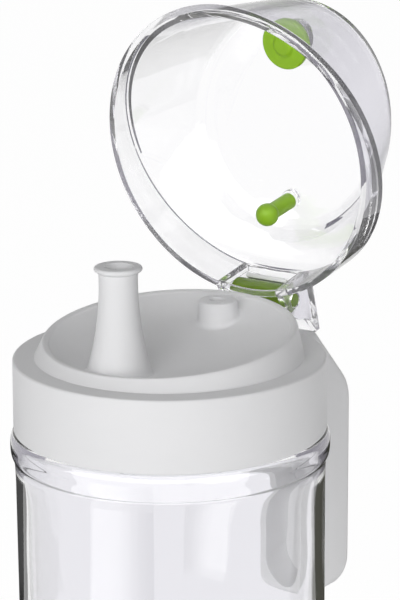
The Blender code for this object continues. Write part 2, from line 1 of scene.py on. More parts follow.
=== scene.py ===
"""Looks of the oil bottle: smooth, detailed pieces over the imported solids, their materials, light, camera.

Units are metres in the part's own frame: +Z up, the origin at the centre of the jar's base, the handle and
the hinge at +Y, the spout at -Y. Lid pieces are drawn closed and then swung open on the hinge.
Heights called *_H or *_DROP are measured from the cap's ledge, the flat ring round the tray.
"""
import json
from math import acos, atan2, cos, degrees, pi, radians, sin, sqrt, tan

import bmesh
import bpy
from mathutils import Matrix, Vector

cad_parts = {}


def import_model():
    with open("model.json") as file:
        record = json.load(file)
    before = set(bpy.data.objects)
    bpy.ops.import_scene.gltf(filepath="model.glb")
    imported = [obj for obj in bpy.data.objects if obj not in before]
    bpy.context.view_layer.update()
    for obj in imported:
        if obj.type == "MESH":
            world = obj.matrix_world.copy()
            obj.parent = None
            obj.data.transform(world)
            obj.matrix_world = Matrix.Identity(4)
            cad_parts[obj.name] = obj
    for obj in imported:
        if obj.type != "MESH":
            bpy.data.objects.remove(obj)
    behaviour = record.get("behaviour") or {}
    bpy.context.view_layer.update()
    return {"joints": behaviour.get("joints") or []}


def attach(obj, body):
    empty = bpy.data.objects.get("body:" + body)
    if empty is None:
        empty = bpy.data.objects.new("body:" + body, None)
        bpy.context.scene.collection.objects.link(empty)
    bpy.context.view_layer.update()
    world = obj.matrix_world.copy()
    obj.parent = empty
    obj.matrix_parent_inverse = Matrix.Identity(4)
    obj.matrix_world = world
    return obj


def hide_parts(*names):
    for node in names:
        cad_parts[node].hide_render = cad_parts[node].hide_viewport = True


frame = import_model()

# Fineness: points of a circle and of a curve, longest steps along a profile, and the angles in degrees past
# which an edge is drawn sharp
TURN = 192
SMALL_TURN = 96
CORNER = 6
HANDLE_CORNER = 12
FILLET_RINGS = 8
SPOUT_RINGS = 14
BOWL_RINGS = 44
JAR_STEP = 0.0020
LID_STEP = 0.0018
BARREL_STEP = 0.0015
THREAD_STEP = 0.00035
SHARP = 38
LID_SHARP = 32

# The gap that parts keep, how near counts as the same place, how far cutters reach past what they cut, and
# the small turn that keeps their corners off those of the walls
GAP = 0.0003
NEAR = 0.00002
CUT_CLEAR = 0.00005
CUT_PAST = 0.0020
CUT_LOW_H = -0.0060
CUT_TURN = 0.011

# The collar's radius sets the width of jar, tray and lid
COLLAR_R = 0.0440

# Jar
JAR_R = COLLAR_R - 0.0001
JAR_WALL = 0.0029
JAR_FLOOR = 0.0060
JAR_HEEL_R = 0.0060
JAR_SHOWN_HEIGHT = 0.1150
FLOOR_RUN = 0.0100
WALL_RUN = 0.0120
BEAD_R = JAR_R + 0.0013
BEAD_HEIGHT = 0.0086
BEAD_DIP = 0.0002
BEAD_BROW = 0.0018
BEAD_CHIN = 0.0022
BEAD_RUN = 0.0040
INNER_SHOULDER = 0.0030
NECK_WALL = 0.0032
NECK_FOOT = 0.0010
NECK_LIP = 0.0008
FOOT_RING_R = 0.0360
FOOT_DISH_R = 0.0345
FOOT_DISH = 0.0010
FOOT_MIDDLE_R = 0.0120
FOOT_MIDDLE = 0.0016

# Slow waves in the jar's inner wall, between its floor and its bead
GLASS_WAVE = 0.00007
WAVE_LOW_Z = 0.0200
WAVE_HIGH_FADE = 0.0080

# Screw thread between neck and collar, which the solids leave out
THREAD_PITCH = 0.0040
THREAD_RIDGE = 0.0009
THREAD_WIDTH = 0.0009
THREAD_OVER_BEAD = 0.0028
THREAD_UNDER_LIP = 0.0018
THREAD_OVER_FOOT = 0.0025
THREAD_UNDER_TOP = 0.0010

# Cap: collar, handle and hinge knuckle
COLLAR_FLARE = 0.0002
COLLAR_HEIGHT = 0.0206
COLLAR_WALL = 0.0022
COLLAR_TOP = 0.0022
COLLAR_EDGE_R = 0.0008
THREAD_ROOM = 0.0018
NECK_R = COLLAR_R - COLLAR_WALL - THREAD_ROOM
HANDLE_REACH = COLLAR_R + 0.0393
HANDLE_DEPTH = 0.0180
HANDLE_HALF_WIDTH = 0.0095
HANDLE_WALL = 0.0022
HANDLE_EDGE_R = 0.0038
HANDLE_ROOT_DROP = 0.0052
HANDLE_SHOULDER_DROP = 0.0272
HANDLE_BOTTOM_DROP = 0.0920
HANDLE_UNDER_DROP = 0.0252
HANDLE_TOP_RUN = 0.0024
HANDLE_TOP_R = 0.0040
HANDLE_SHOULDER_R = 0.0140
HANDLE_FOOT_R = 0.0080
HANDLE_INNER_FOOT_R = 0.0030
HANDLE_UNDER_R = 0.0060
HANDLE_INSET = 0.0012
FINE_EDGE = 0.0003

# Pouring insert: tray, spout and vent
FLANGE_OVERLAP = 0.0041
FLANGE = 0.0018
GASKET = 0.0018
GASKET_OUT = 0.0004
GASKET_ROUND = 0.0005
TRAY_FOOT_R = COLLAR_R - 0.0072
TRAY_FLARE = 0.0012
TRAY_RIM_R = TRAY_FOOT_R - 0.0016
TRAY_RIM_FRONT_H = 0.0032
TRAY_RIM_REAR_H = 0.0102
TRAY_WALL = 0.0020
TRAY_FLOOR_H = 0.0022
TRAY_FLOOR_SLOPE = 0.10
TRAY_EDGE = 0.0008
BOWL_SINK = 0.0011
BOWL_POWER = 3.8
BOWL_SHARE = 0.94
SPOUT_Y = -(TRAY_RIM_R - 0.0122)
SPOUT_TIP_H = 0.0302
SPOUT_LIP_R = 0.0066
SPOUT_LIP = 0.0014
SPOUT_NECK_R = 0.0053
SPOUT_NECK = 0.0036
SPOUT_BASE_R = 0.0088
SPOUT_FLARE_POWER = 2.1
SPOUT_FOOT = 0.0010
SPOUT_FILLET = 0.0011
SPOUT_BORE_R = 0.0030
SPOUT_MOUTH_R = 0.0037
SPOUT_MOUTH_DEPTH = 0.0014
VENT_Y = TRAY_RIM_R - 0.0115
VENT_R = 0.0057
VENT_TOP_H = 0.0106
VENT_ROUND = 0.0007
VENT_DRAFT = 0.0002
VENT_FILLET = 0.0012
VENT_HOLE_R = 0.0020

# Clear lid, measured closed
LID_R = COLLAR_R + 0.0001
LID_WALL = 0.0018
STEP_R = LID_R - 0.0037
STEP_FRONT_H = 0.0002
STEP_REAR_H = 0.0146
STEP_RISE = 0.0006
STEP_DRAFT = 0.0005
SHOULDER_RISE = 0.0018
CREASE_R = STEP_R - 0.0062
CREASE_FRONT_H = 0.0401
CREASE_REAR_H = 0.0199
CREASE_OUT = 0.0004
TOP_MID_H = 0.0341
TOP_SLOPE = -0.206
CROWN = ((0.946, 0.62, 0.72), (0.863, 0.82, 0.38), (0.714, 0.93, 0.12), (0.417, 0.99, 0.0), (0.12, 1, 0))
POST_TOP_SLOPE = -0.30
WINDOW_BAR = 0.0010
WINDOW_TOP_H = 0.0142
WINDOW_IN = 0.0090
WINDOW_OUT = 0.0030
CHEEK = 0.0022
CHEEK_BOSS_R = 0.0050
TAB = 0.0022
TAB_TIP_H = 0.0191
TAB_ROUND = 0.0006
TAB_EDGE = 0.0004
TAB_ROOT_H = 0.0166
LEVER_ARCH = ((0.0066, 0.0007), (0.0076, 0.0040), (0.0093, 0.0066), (0.0118, 0.0082))
LEVER_TIP = 0.0010

# Hinge pin and silicone parts
BARREL_R = 0.0042
BARREL_HALF = 0.0089
PEG_R = 0.0020
KNUCKLE_WALL = 0.0014
KNUCKLE_HALF = 0.0070
KNUCKLE_WEB = 0.0014
KNUCKLE_SINK = 0.0010
PAD_R = 0.0075
PAD = 0.0020
PAD_NUB_R = 0.0028
PAD_NUB_FOOT = 0.0006
PAD_NUB = 0.0011
PAD_BOSS_R = 0.0055
PAD_STEM_R = 0.0025
PAD_STEM = 0.0034
PLUG_BALL_R = 0.0034
PLUG_SHAFT_R = 0.00245
PLUG_JOIN_R = 0.0012
PLUG_PEG_R = 0.0014
PLUG_PEG = 0.0050
POST = 0.0016
POST_R = 0.0030

# Places worked out from the sizes and from the frame's hinge
LID_JOINT = next(joint for joint in frame["joints"] if joint["name"] == "lid_hinge")
HINGE = Vector(LID_JOINT["pos_m"])
OPEN_ANGLE = radians(-LID_JOINT["range_deg"][0])
HINGE_Y = HINGE.y
LEDGE_Z = JAR_SHOWN_HEIGHT + COLLAR_HEIGHT
HINGE_H = HINGE.z - LEDGE_Z
TAB_REACH = HINGE_Y + 0.0150
CHEEK_INNER_X = BARREL_HALF + 2 * GAP
PLUG_BASE_H = TOP_MID_H - LID_WALL + TOP_SLOPE * VENT_Y - POST
PLUG_TOP_H = PLUG_BASE_H + POST
FLANGE_TOP_H = -COLLAR_TOP - GAP
FLANGE_LOW_H = FLANGE_TOP_H - FLANGE
NECK_TOP_H = FLANGE_LOW_H - GASKET - 2 * GAP
BEAD_TOP_Z = LEDGE_Z - COLLAR_HEIGHT - GAP

# Camera, as the photograph was taken
CAMERA_DISTANCE = 0.6192
CAMERA_ABOVE_LEDGE = 0.1801
CAMERA_TURN = radians(36.26)
CAMERA_PITCH = radians(14.88)
CAMERA_YAW = radians(0.80)
CAMERA_ROLL = radians(-0.40)
CAMERA_LENS = 138.0

# What the noise mostly stays between
NOISE_LOW = 0.3
NOISE_HIGH = 0.7

# Where a clear material's colour begins and ends its turn to the painted shade of its edges: 0 is face on, 1
# is edge on
EDGE_SHADE_START = 0.70
EDGE_SHADE_END = 0.97

# Backdrop: white to the eye, lilac through two clear walls, dimmer overhead where it is only reflected
WHITE = (1.0, 1.0, 1.0)
BACKDROP_THROUGH_WALLS = (0.835, 0.828, 0.875)
SKY_LIGHT = 0.28
CEILING = 0.45
CEILING_START = 0.10
CEILING_END = 0.50
FLOOR_SIZE = 6.0
FLOOR_GLOW = 1.04
FLOOR_SEEN = 0.93
FLOOR_UNSEEN = 0.32

# Studio cards: strips along a card's arc, and how many of them its light takes to grow full
CARD_SPANS = 8
CARD_FADE_SPANS = 5

# Lamps: the large one beside the camera, one that lightens the handle's shadow on the floor, one in the jar
# that lights the handle's channel
KEY_TURN = radians(-14)
KEY_RISE = radians(16)
KEY_DISTANCE = 1.2
KEY_SIZE = (0.9, 0.9)
KEY_POWER = 8.5
FLOOR_LAMP_PLACE = (0.105, 0.075, 0.003)
FLOOR_LAMP_SIZE = (0.14, 0.14)
FLOOR_LAMP_POWER = 0.034
JAR_LAMP_PLACE = (0, 0.010, 0.070)
JAR_LAMP_SIZE = (0.04, 0.08)
JAR_LAMP_POWER = 0.013


def soften(path, size, count=CORNER):
    """Rounds the corners of a path of number tuples. size is the length that a corner takes of each side."""
    sizes = size if isinstance(size, (list, tuple)) else [size] * len(path)
    smooth = [path[0]]
    for i in range(1, len(path) - 1):
        here, before, after = Vector(path[i]), Vector(path[i - 1]), Vector(path[i + 1])
        if not sizes[i]:
            smooth.append(tuple(here))
            continue
        to_before, to_after = before - here, after - here
        start = here + to_before * min(0.48, sizes[i] / max(to_before.length, 1e-9))
        end = here + to_after * min(0.48, sizes[i] / max(to_after.length, 1e-9))
        for k in range(count + 1):
            t = k / count
            smooth.append(tuple(start * (1 - t) ** 2 + here * 2 * t * (1 - t) + end * t ** 2))
    smooth.append(path[-1])
    return smooth


def divide(path, step):
    """Adds points along a path's long stretches, about step apart."""
    fine = [path[0]]
    for start, end in zip(path, path[1:]):
        parts = max(1, int((Vector(end) - Vector(start)).length / step + 0.5))
        fine += [tuple(Vector(start).lerp(Vector(end), (k + 1) / parts)) for k in range(parts)]
    return fine


def arc(centre, radius, start, end, count):
    """Points on an arc from start to end degrees, counted from the first axis."""
    points = []
    for i in range(count + 1):
        angle = radians(start + (end - start) * i / count)
        points.append((centre[0] + radius * cos(angle), centre[1] + radius * sin(angle)))
    return points


def rounded(corners, count=HANDLE_CORNER):
    """An outline through corners (a, b, radius), each rounded by its own radius."""
    outline = []
    for i, (a, b, radius) in enumerate(corners):
        here = Vector((a, b))
        if not radius:
            outline.append((a, b))
            continue
        before = (Vector(corners[i - 1][:2]) - here).normalized()
        after = (Vector(corners[(i + 1) % len(corners)][:2]) - here).normalized()
        half = acos(max(-1, min(1, before.dot(after)))) / 2
        centre = here + (before + after).normalized() * radius / sin(half)
        reach = radius / tan(half)
        first = here + before * reach - centre
        turn = (here + after * reach - centre).angle_signed(first)
        start = atan2(first.y, first.x)
        for k in range(count + 1):
            angle = start + turn * k / count
            outline.append((centre.x + radius * cos(angle), centre.y + radius * sin(angle)))
    return outline


def shade(obj, sharp=SHARP):
    """Shades a piece smooth, but for edges past sharp degrees."""
    obj.data.shade_smooth()
    obj.data.set_sharp_from_angle(angle=radians(sharp))
    return obj


def new_object(name, cage):
    """Makes a shaded object of a cage."""
    bmesh.ops.recalc_face_normals(cage, faces=cage.faces)
    mesh = bpy.data.meshes.new(name)
    cage.to_mesh(mesh)
    cage.free()
    obj = bpy.data.objects.new(name, mesh)
    bpy.context.scene.collection.objects.link(obj)
    return shade(obj)


def skin(name, rings, closed=False):
    """A surface through rings of equal counts. A ring of one point is a pole."""
    cage = bmesh.new()
    made = [[cage.verts.new(point) for point in ring] for ring in rings]
    pairs = list(zip(made, made[1:]))
    if closed:
        pairs.append((made[-1], made[0]))
    for first, second in pairs:
        count = max(len(first), len(second))
        for i in range(count):
            k = (i + 1) % count
            if len(first) == 1:
                cage.faces.new((first[0], second[i], second[k]))
            elif len(second) == 1:
                cage.faces.new((first[i], second[0], first[k]))
            else:
                cage.faces.new((first[i], second[i], second[k], first[k]))
    return new_object(name, cage)


def turned(name, profile, steps=TURN, place=(0, 0, 0), closed=False, swell=None):
    """A profile (radius, height) turned about an upright axis. swell gives what a point's radius gains."""
    rings = []
    for radius, height in profile:
        if radius < 1e-7:
            rings.append([(place[0], place[1], place[2] + height)])
            continue
        ring = []
        for i in range(steps):
            angle = 2 * pi * i / steps
            r = radius + (swell(angle, radius, height) if swell else 0)
            ring.append((place[0] + r * cos(angle), place[1] + r * sin(angle), place[2] + height))
        rings.append(ring)
    return skin(name, rings, closed)


def plate(name, outline, half_width, middle=0.0):
    """A flat outline (y, z), as thick as twice half_width along X."""
    cage = bmesh.new()
    low = [cage.verts.new((middle - half_width, y, z)) for y, z in outline]
    face = cage.faces.new(low)
    moved = bmesh.ops.extrude_face_region(cage, geom=[face])["geom"]
    moved = [part for part in moved if isinstance(part, bmesh.types.BMVert)]
    bmesh.ops.translate(cage, vec=(2 * half_width, 0, 0), verts=moved)
    return new_object(name, cage)


def bevelled(obj, width, segments=3, angle=30):
    """Rounds an object's own sharp edges."""
    modifier = obj.modifiers.new("Edges", "BEVEL")
    modifier.width = width
    modifier.segments = segments
    modifier.limit_method = "ANGLE"
    modifier.angle_limit = radians(angle)
    settle(obj)
    return obj


def settle(obj):
    """Applies an object's modifiers."""
    bpy.context.view_layer.update()
    mesh = bpy.data.meshes.new_from_object(obj.evaluated_get(bpy.context.evaluated_depsgraph_get()))
    obj.modifiers.clear()
    old = obj.data
    obj.data = mesh
    bpy.data.meshes.remove(old)
    mesh.name = obj.name


def combine(target, tools, operation):
    """Joins tools to a target, or cuts them out of it, and removes them."""
    for tool in tools:
        modifier = target.modifiers.new(tool.name, "BOOLEAN")
        modifier.operation = operation
        modifier.object = tool
    settle(target)
    for tool in tools:
        bpy.data.objects.remove(tool)
    return target


def swung(obj):
    """Swings a piece that was drawn on the closed lid to where the open lid is."""
    move = Matrix.Translation(HINGE) @ Matrix.Rotation(-OPEN_ANGLE, 4, "X") @ Matrix.Translation(-HINGE)
    obj.data.transform(move)
    return obj


def dress(obj, mat, body, slot, *nodes):
    """Gives a piece its material and body, and hides the nodes that it replaces. slot is not used."""
    obj.data.materials.clear()
    obj.data.materials.append(mat)
    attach(obj, body)
    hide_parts(*nodes)


def thread(shift, start, end):
    """Height of a right-hand screw ridge, which fades out before start and end heights."""
    def ridge(angle, height):
        turns = (height - start - shift) / THREAD_PITCH - angle / (2 * pi)
        off = abs(turns - round(turns)) * THREAD_PITCH
        rise = max(0.0, 1 - (off / THREAD_WIDTH) ** 2) ** 2
        fade = min(1.0, max(0.0, (height - start) / THREAD_PITCH), max(0.0, (end - height) / THREAD_PITCH))
        return THREAD_RIDGE * rise * min(1.0, 2 * fade)
    return ridge


def threaded(profile, on_thread):
    """A profile with fine steps where it holds the thread, without its last point."""
    fine = []
    for start, end in zip(profile, profile[1:]):
        fine += divide([start, end], THREAD_STEP)[:-1] if on_thread(start, end) else [start]
    return fine


def jar():
    """Glass jar with its bead, screw neck, thick heel and slightly wavy inner wall."""
    neck_top = LEDGE_Z + NECK_TOP_H
    bead_low = BEAD_TOP_Z - BEAD_HEIGHT
    inner = JAR_R - JAR_WALL
    neck_inner = NECK_R - NECK_WALL
    inside = [(0, JAR_FLOOR), (inner - FLOOR_RUN, JAR_FLOOR), (inner, JAR_FLOOR),
              (inner, JAR_FLOOR + WALL_RUN), (inner, bead_low - INNER_SHOULDER / 3),
              (inner - 2 * BEAD_DIP, bead_low + INNER_SHOULDER),
              (neck_inner, BEAD_TOP_Z + INNER_SHOULDER / 2), (neck_inner, neck_top)]
    outside = [(NECK_R, neck_top), (NECK_R, BEAD_TOP_Z + NECK_FOOT), (NECK_R + 1.2 * NECK_FOOT, BEAD_TOP_Z),
               (JAR_R + BEAD_DIP, BEAD_TOP_Z - BEAD_DIP), (BEAD_R, BEAD_TOP_Z - BEAD_BROW),
               (BEAD_R, bead_low + BEAD_CHIN), (JAR_R + 1.5 * BEAD_DIP, bead_low + 3 * BEAD_DIP),
               (JAR_R, bead_low - BEAD_RUN), (JAR_R, 0.0), (FOOT_RING_R, 0.0), (FOOT_DISH_R, FOOT_DISH),
               (FOOT_MIDDLE_R, FOOT_MIDDLE), (0, FOOT_MIDDLE)]
    soft_in = [0, 0, 0.0065, 0, 0.002, 0.0025, 0.003, NECK_LIP]
    soft_out = [NECK_LIP, 0.0006, 0.0008, 0.0012, 0.0016, 0.0022, 0.0022, 0.003, JAR_HEEL_R, 0.0014, 0.0014,
                0.006, 0]
    profile = divide(soften(inside + outside, soft_in + soft_out, 8), JAR_STEP)
    ridge = thread(0.0, BEAD_TOP_Z + THREAD_OVER_BEAD, neck_top - THREAD_UNDER_LIP)

    def on_neck(start, _):
        return abs(start[0] - NECK_R) < 10 * NEAR and start[1] > BEAD_TOP_Z

    def swell(angle, radius, height):
        if abs(radius - NECK_R) < NEAR:
            return ridge(angle, height)
        if WAVE_LOW_Z < height < bead_low and radius < JAR_R - JAR_WALL / 2:
            along = sin(height * 95 + 1.3) + 0.6 * sin(height * 210)
            ends = min(1.0, (height - WAVE_LOW_Z) / WAVE_LOW_Z, (bead_low - height) / WAVE_HIGH_FADE)
            return GLASS_WAVE * ends * (sin(3 * angle + 0.7 * along) + 0.5 * sin(7 * angle + along + 0.9))
        return 0.0

    return turned("jar_glass", threaded(profile, on_neck) + [profile[-1]], swell=swell)


def gasket():
    """Sealing ring between the jar's rim and the tray's flange."""
    low = NECK_TOP_H + GAP
    high = low + GASKET
    outer = NECK_R + GASKET_OUT
    inner = NECK_R - NECK_WALL
    start = (inner, low + GASKET / 2)
    profile = [start, (inner, low), (outer, low), (outer, high), (inner, high), start]
    return turned("gasket_ring", soften(profile, GASKET_ROUND)[:-1], place=(0, 0, LEDGE_Z), closed=True)


def lid_stop():
    """Where the open lid's tab tip comes down: the handle's top passes just under it."""
    places = []
    for back in (0, TAB):
        y, z = TAB_REACH - HINGE_Y - back, TAB_TIP_H - HINGE_H - back
        places.append((HINGE_Y + y * cos(OPEN_ANGLE) + z * sin(OPEN_ANGLE),
                       HINGE_H - y * sin(OPEN_ANGLE) + z * cos(OPEN_ANGLE)))
    return places[0][0], min(places[0][1], places[1][1]) - 2 * GAP


def grip():
    """The handle's solid outline, with its outer edges well rounded."""
    root = COLLAR_R - HANDLE_INSET
    inner = HANDLE_REACH - HANDLE_DEPTH
    stop_y, stop_z = lid_stop()
    corners = [(root, -HANDLE_ROOT_DROP, 0), (stop_y + HANDLE_TOP_RUN, stop_z, HANDLE_TOP_R),
               (HANDLE_REACH, -HANDLE_SHOULDER_DROP, HANDLE_SHOULDER_R),
               (HANDLE_REACH, -HANDLE_BOTTOM_DROP, HANDLE_FOOT_R),
               (inner, -HANDLE_BOTTOM_DROP, HANDLE_INNER_FOOT_R), (inner, -HANDLE_UNDER_DROP, HANDLE_UNDER_R),
               (root, -COLLAR_HEIGHT + HANDLE_INSET, 0)]
    outline = [(y, LEDGE_Z + z) for y, z in rounded(corners)]
    body = plate("grip", outline, HANDLE_HALF_WIDTH)
    cage = bmesh.new()
    cage.from_mesh(body.data)
    path = outline[:1 + 3 * (HANDLE_CORNER + 1)]
    outer = []
    for edge in cage.edges:
        if abs(edge.verts[0].co.x - edge.verts[1].co.x) > GAP / 10:
            continue
        if all(any(abs(v.co.y - y) + abs(v.co.z - z) < GAP / 10 for y, z in path) for v in edge.verts):
            outer.append(edge)
    bmesh.ops.bevel(cage, geom=outer, offset=HANDLE_EDGE_R, segments=8, profile=0.5, affect="EDGES")
    cage.to_mesh(body.data)
    cage.free()
    return body


def grip_channel():
    """Cutters for the channel along the grip's inner side, which ends round at the foot."""
    wall = HANDLE_WALL
    half = HANDLE_HALF_WIDTH - wall
    inner = HANDLE_REACH - HANDLE_DEPTH
    end = HANDLE_BOTTOM_DROP - wall - half
    stop_y, stop_z = lid_stop()
    corners = [(COLLAR_R + wall, -HANDLE_ROOT_DROP - 1.5 * wall, 0),
               (stop_y, stop_z - 1.2 * wall, HANDLE_TOP_R - wall / 2),
               (HANDLE_REACH - wall, -HANDLE_SHOULDER_DROP - wall / 2, HANDLE_SHOULDER_R - wall),
               (HANDLE_REACH - wall, -end, 0), (inner - wall, -end, 0),
               (inner - wall, -HANDLE_UNDER_DROP - 2 * wall, 0),
               (COLLAR_R + wall, -COLLAR_HEIGHT - 2 * wall, 0)]
    hollow = plate("channel", [(y, LEDGE_Z + z) for y, z in rounded(corners)], half)
    lift = GAP / 3
    bar = [(0, 0), (half - lift, 0), (half - lift, HANDLE_DEPTH), (0, HANDLE_DEPTH)]
    round_end = turned("channel_end", bar, SMALL_TURN // 2)
    place = Matrix.Translation((0, HANDLE_REACH - wall - lift, LEDGE_Z - end))
    round_end.data.transform(place @ Matrix.Rotation(pi / 2, 4, "X"))
    return [hollow, round_end]


def grip_limits():
    """What the grip is kept within: a bar whose lower corners round the grip's foot, seen from behind."""
    side, low = HANDLE_HALF_WIDTH + CUT_CLEAR, -HANDLE_BOTTOM_DROP - CUT_CLEAR
    top, wide = -HANDLE_UNDER_DROP, 2 * HANDLE_DEPTH
    corners = [(-side, low, HANDLE_EDGE_R), (side, low, HANDLE_EDGE_R), (side, top, 0), (wide, top, 0),
               (wide, wide, 0), (-wide, wide, 0), (-wide, top, 0), (-side, top, 0)]
    outline = [(x, LEDGE_Z + z) for x, z in rounded(corners)]
    limits = plate("foot", outline, HANDLE_REACH / 2, HANDLE_REACH)
    limits.data.transform(Matrix.Rotation(pi / 2, 4, "Z"))
    return limits


def handle():
    """The moulded grip with the open channel on its inner side."""
    return combine(combine(grip(), grip_channel(), "DIFFERENCE"), [grip_limits()], "INTERSECT")


def knuckle():
    """The open hook that holds the hinge barrel, on its web over the handle's root."""
    centre = (HINGE_Y, LEDGE_Z + HINGE_H)
    inner = BARREL_R + GAP
    outer = inner + KNUCKLE_WALL
    front = HINGE_Y - KNUCKLE_WEB
    base = LEDGE_Z - HANDLE_ROOT_DROP - 3.5 * KNUCKLE_SINK
    outline = arc(centre, inner, 70, -100, 28)
    outline += [(front, LEDGE_Z + GAP), (COLLAR_R - KNUCKLE_SINK, LEDGE_Z - KNUCKLE_SINK),
                (COLLAR_R - KNUCKLE_SINK, base), (HINGE_Y + outer, base)]
    outline += arc(centre, outer, 0, 70, 12)
    return bevelled(plate("knuckle", outline, KNUCKLE_HALF), FINE_EDGE, 2, 50)


def collar():
    """Screw collar with its inner thread, the handle and the hinge knuckle."""
    foot_r = COLLAR_R + COLLAR_FLARE
    inner = COLLAR_R - COLLAR_WALL
    hole = TRAY_FOOT_R + GAP
    edge = COLLAR_EDGE_R
    path = [(hole, -COLLAR_TOP / 2), (hole, 0), (COLLAR_R, 0), (foot_r, -COLLAR_HEIGHT),
            (inner, -COLLAR_HEIGHT), (inner, -COLLAR_TOP), (hole, -COLLAR_TOP), (hole, -COLLAR_TOP / 2)]
    soft = [0, 0.0003, edge, edge * 0.6, 0.0004, 0.0006, 0.0003, 0]
    profile = soften(path, soft)[:-1]
    ridge = thread(THREAD_PITCH / 2, LEDGE_Z - COLLAR_HEIGHT + THREAD_OVER_FOOT,
                   LEDGE_Z + NECK_TOP_H - THREAD_UNDER_TOP)

    def on_thread(start, end):
        return abs(start[0] - inner) < NEAR and abs(end[0] - inner) < NEAR

    def swell(angle, radius, height):
        return -ridge(angle, LEDGE_Z + height) if abs(radius - inner) < NEAR else 0.0

    fine = threaded(profile + profile[:1], on_thread)
    body = turned("cap_collar", fine, place=(0, 0, LEDGE_Z), closed=True, swell=swell)
    return shade(combine(body, [handle(), knuckle()], "UNION"))


def slant(front, rear, radius):
    """Mid height and slope of a ring whose front and rear heights are known."""
    return (front + rear) / 2, (rear - front) / (2 * radius)


def slanted_ring(radius, height, slope):
    """A circle seen from above, whose height above the ledge grows by slope along Y."""
    ring = []
    for i in range(TURN):
        angle = 2 * pi * i / TURN
        y = radius * cos(angle)
        ring.append((radius * sin(angle), y, LEDGE_Z + height + slope * y))
    return ring


def circle(radius, middle_y, steps=SMALL_TURN):
    """The points (x, y) of a circle about a middle on the Y axis."""
    turns = [2 * pi * i / steps for i in range(steps)]
    return [(radius * cos(turn), middle_y + radius * sin(turn)) for turn in turns]


def bowl_height(radius):
    """Height of the drip tray's floor above the ledge, at Y = 0."""
    rim = (TRAY_RIM_FRONT_H + TRAY_RIM_REAR_H) / 2 - 0.7 * TRAY_EDGE
    low = TRAY_FLOOR_H - BOWL_SINK
    return low + (rim - low) * (radius / (TRAY_RIM_R - 1.5 * TRAY_EDGE)) ** BOWL_POWER


def bowl_at(x, y):
    """Height of the drip tray's sloping floor above the ledge."""
    return bowl_height(sqrt(x * x + y * y)) + TRAY_FLOOR_SLOPE * y


def standing(name, middle_y, wall, fillet):
    """A round wall (radius, height) from its top down, that runs out into the bowl through a fillet."""
    top_h = wall[0][1]
    foot_r, foot_h = wall[-1]
    shifts = [bowl_at(x, y) + fillet - foot_h for x, y in circle(foot_r, middle_y)]
    rings = [[(0, middle_y, LEDGE_Z + top_h)]]
    for radius, height in wall:
        share = ((top_h - height) / (top_h - foot_h)) ** 2
        points = zip(circle(radius, middle_y), shifts)
        rings.append([(x, y, LEDGE_Z + height + share * shift) for (x, y), shift in points])
    run_out = []
    for k in range(1, FILLET_RINGS + 1):
        turn = pi / 2 * k / FILLET_RINGS
        run_out.append((foot_r + fillet * (1 - cos(turn)), fillet * (1 - sin(turn))))
    skirt_r = foot_r + fillet + 0.0005
    run_out += [(skirt_r, -0.6 * GAP), (skirt_r, -TRAY_WALL / 2)]
    for radius, rise in run_out:
        rings.append([(x, y, LEDGE_Z + rise + bowl_at(x, y)) for x, y in circle(radius, middle_y)])
    rings.append([(0, middle_y, LEDGE_Z + bowl_at(0, middle_y) - TRAY_WALL / 2)])
    return skin(name, rings)


def tray_body():
    """Flange, slanted wall and bowl of the drip tray: one closed skin, from its underside over the rim."""
    flange_r = TRAY_FOOT_R + FLANGE_OVERLAP
    rim_mid, rim_slope = slant(TRAY_RIM_FRONT_H, TRAY_RIM_REAR_H, TRAY_RIM_R)
    edge, flare = TRAY_EDGE, TRAY_FLARE
    bowl_start = TRAY_RIM_R * 0.955
    outer = [(flange_r, FLANGE_LOW_H, 0), (flange_r, FLANGE_TOP_H, 0), (TRAY_FOOT_R, FLANGE_TOP_H, 0),
             (TRAY_FOOT_R, -GAP, 0), (TRAY_FOOT_R + flare, GAP / 5, 0),
             (TRAY_FOOT_R + flare * 0.75, flare / 3, 0),
             (TRAY_FOOT_R + flare / 4, 0.35 * rim_mid, 0.35 * rim_slope),
             (TRAY_RIM_R + edge, rim_mid - edge, rim_slope), (TRAY_RIM_R + 0.3 * edge, rim_mid, rim_slope),
             (TRAY_RIM_R - 1.6 * edge, rim_mid - 0.5 * edge, rim_slope),
             (bowl_start, bowl_height(bowl_start), TRAY_FLOOR_SLOPE)]
    soft = [0, 0.0003, 0.0004, 0.0003, 0.00005, 0.0005, 0.0014, 0.0012, 0.0010, 0.0014, 0.0020, 0]
    radii = [TRAY_RIM_R * BOWL_SHARE * (1 - k / BOWL_RINGS) for k in range(BOWL_RINGS)]
    bowl = [(r, bowl_height(r), TRAY_FLOOR_SLOPE) for r in radii]
    top = soften(outer + bowl[:1], soft) + bowl[1:]
    wall_r = TRAY_RIM_R - edge / 4
    low = [(r, h - TRAY_WALL, s) for r, h, s in bowl[::-4]]
    low += [(wall_r - edge, rim_mid - 4 * edge, rim_slope), (wall_r, rim_mid - 5.2 * edge, rim_slope),
            (wall_r, FLANGE_LOW_H, 0)]
    middle = LEDGE_Z + bowl_height(0)
    rings = [slanted_ring(*ring) for ring in low + top]
    return skin("pour_tray", [[(0, 0, middle - TRAY_WALL)]] + rings + [[(0, 0, middle)]])


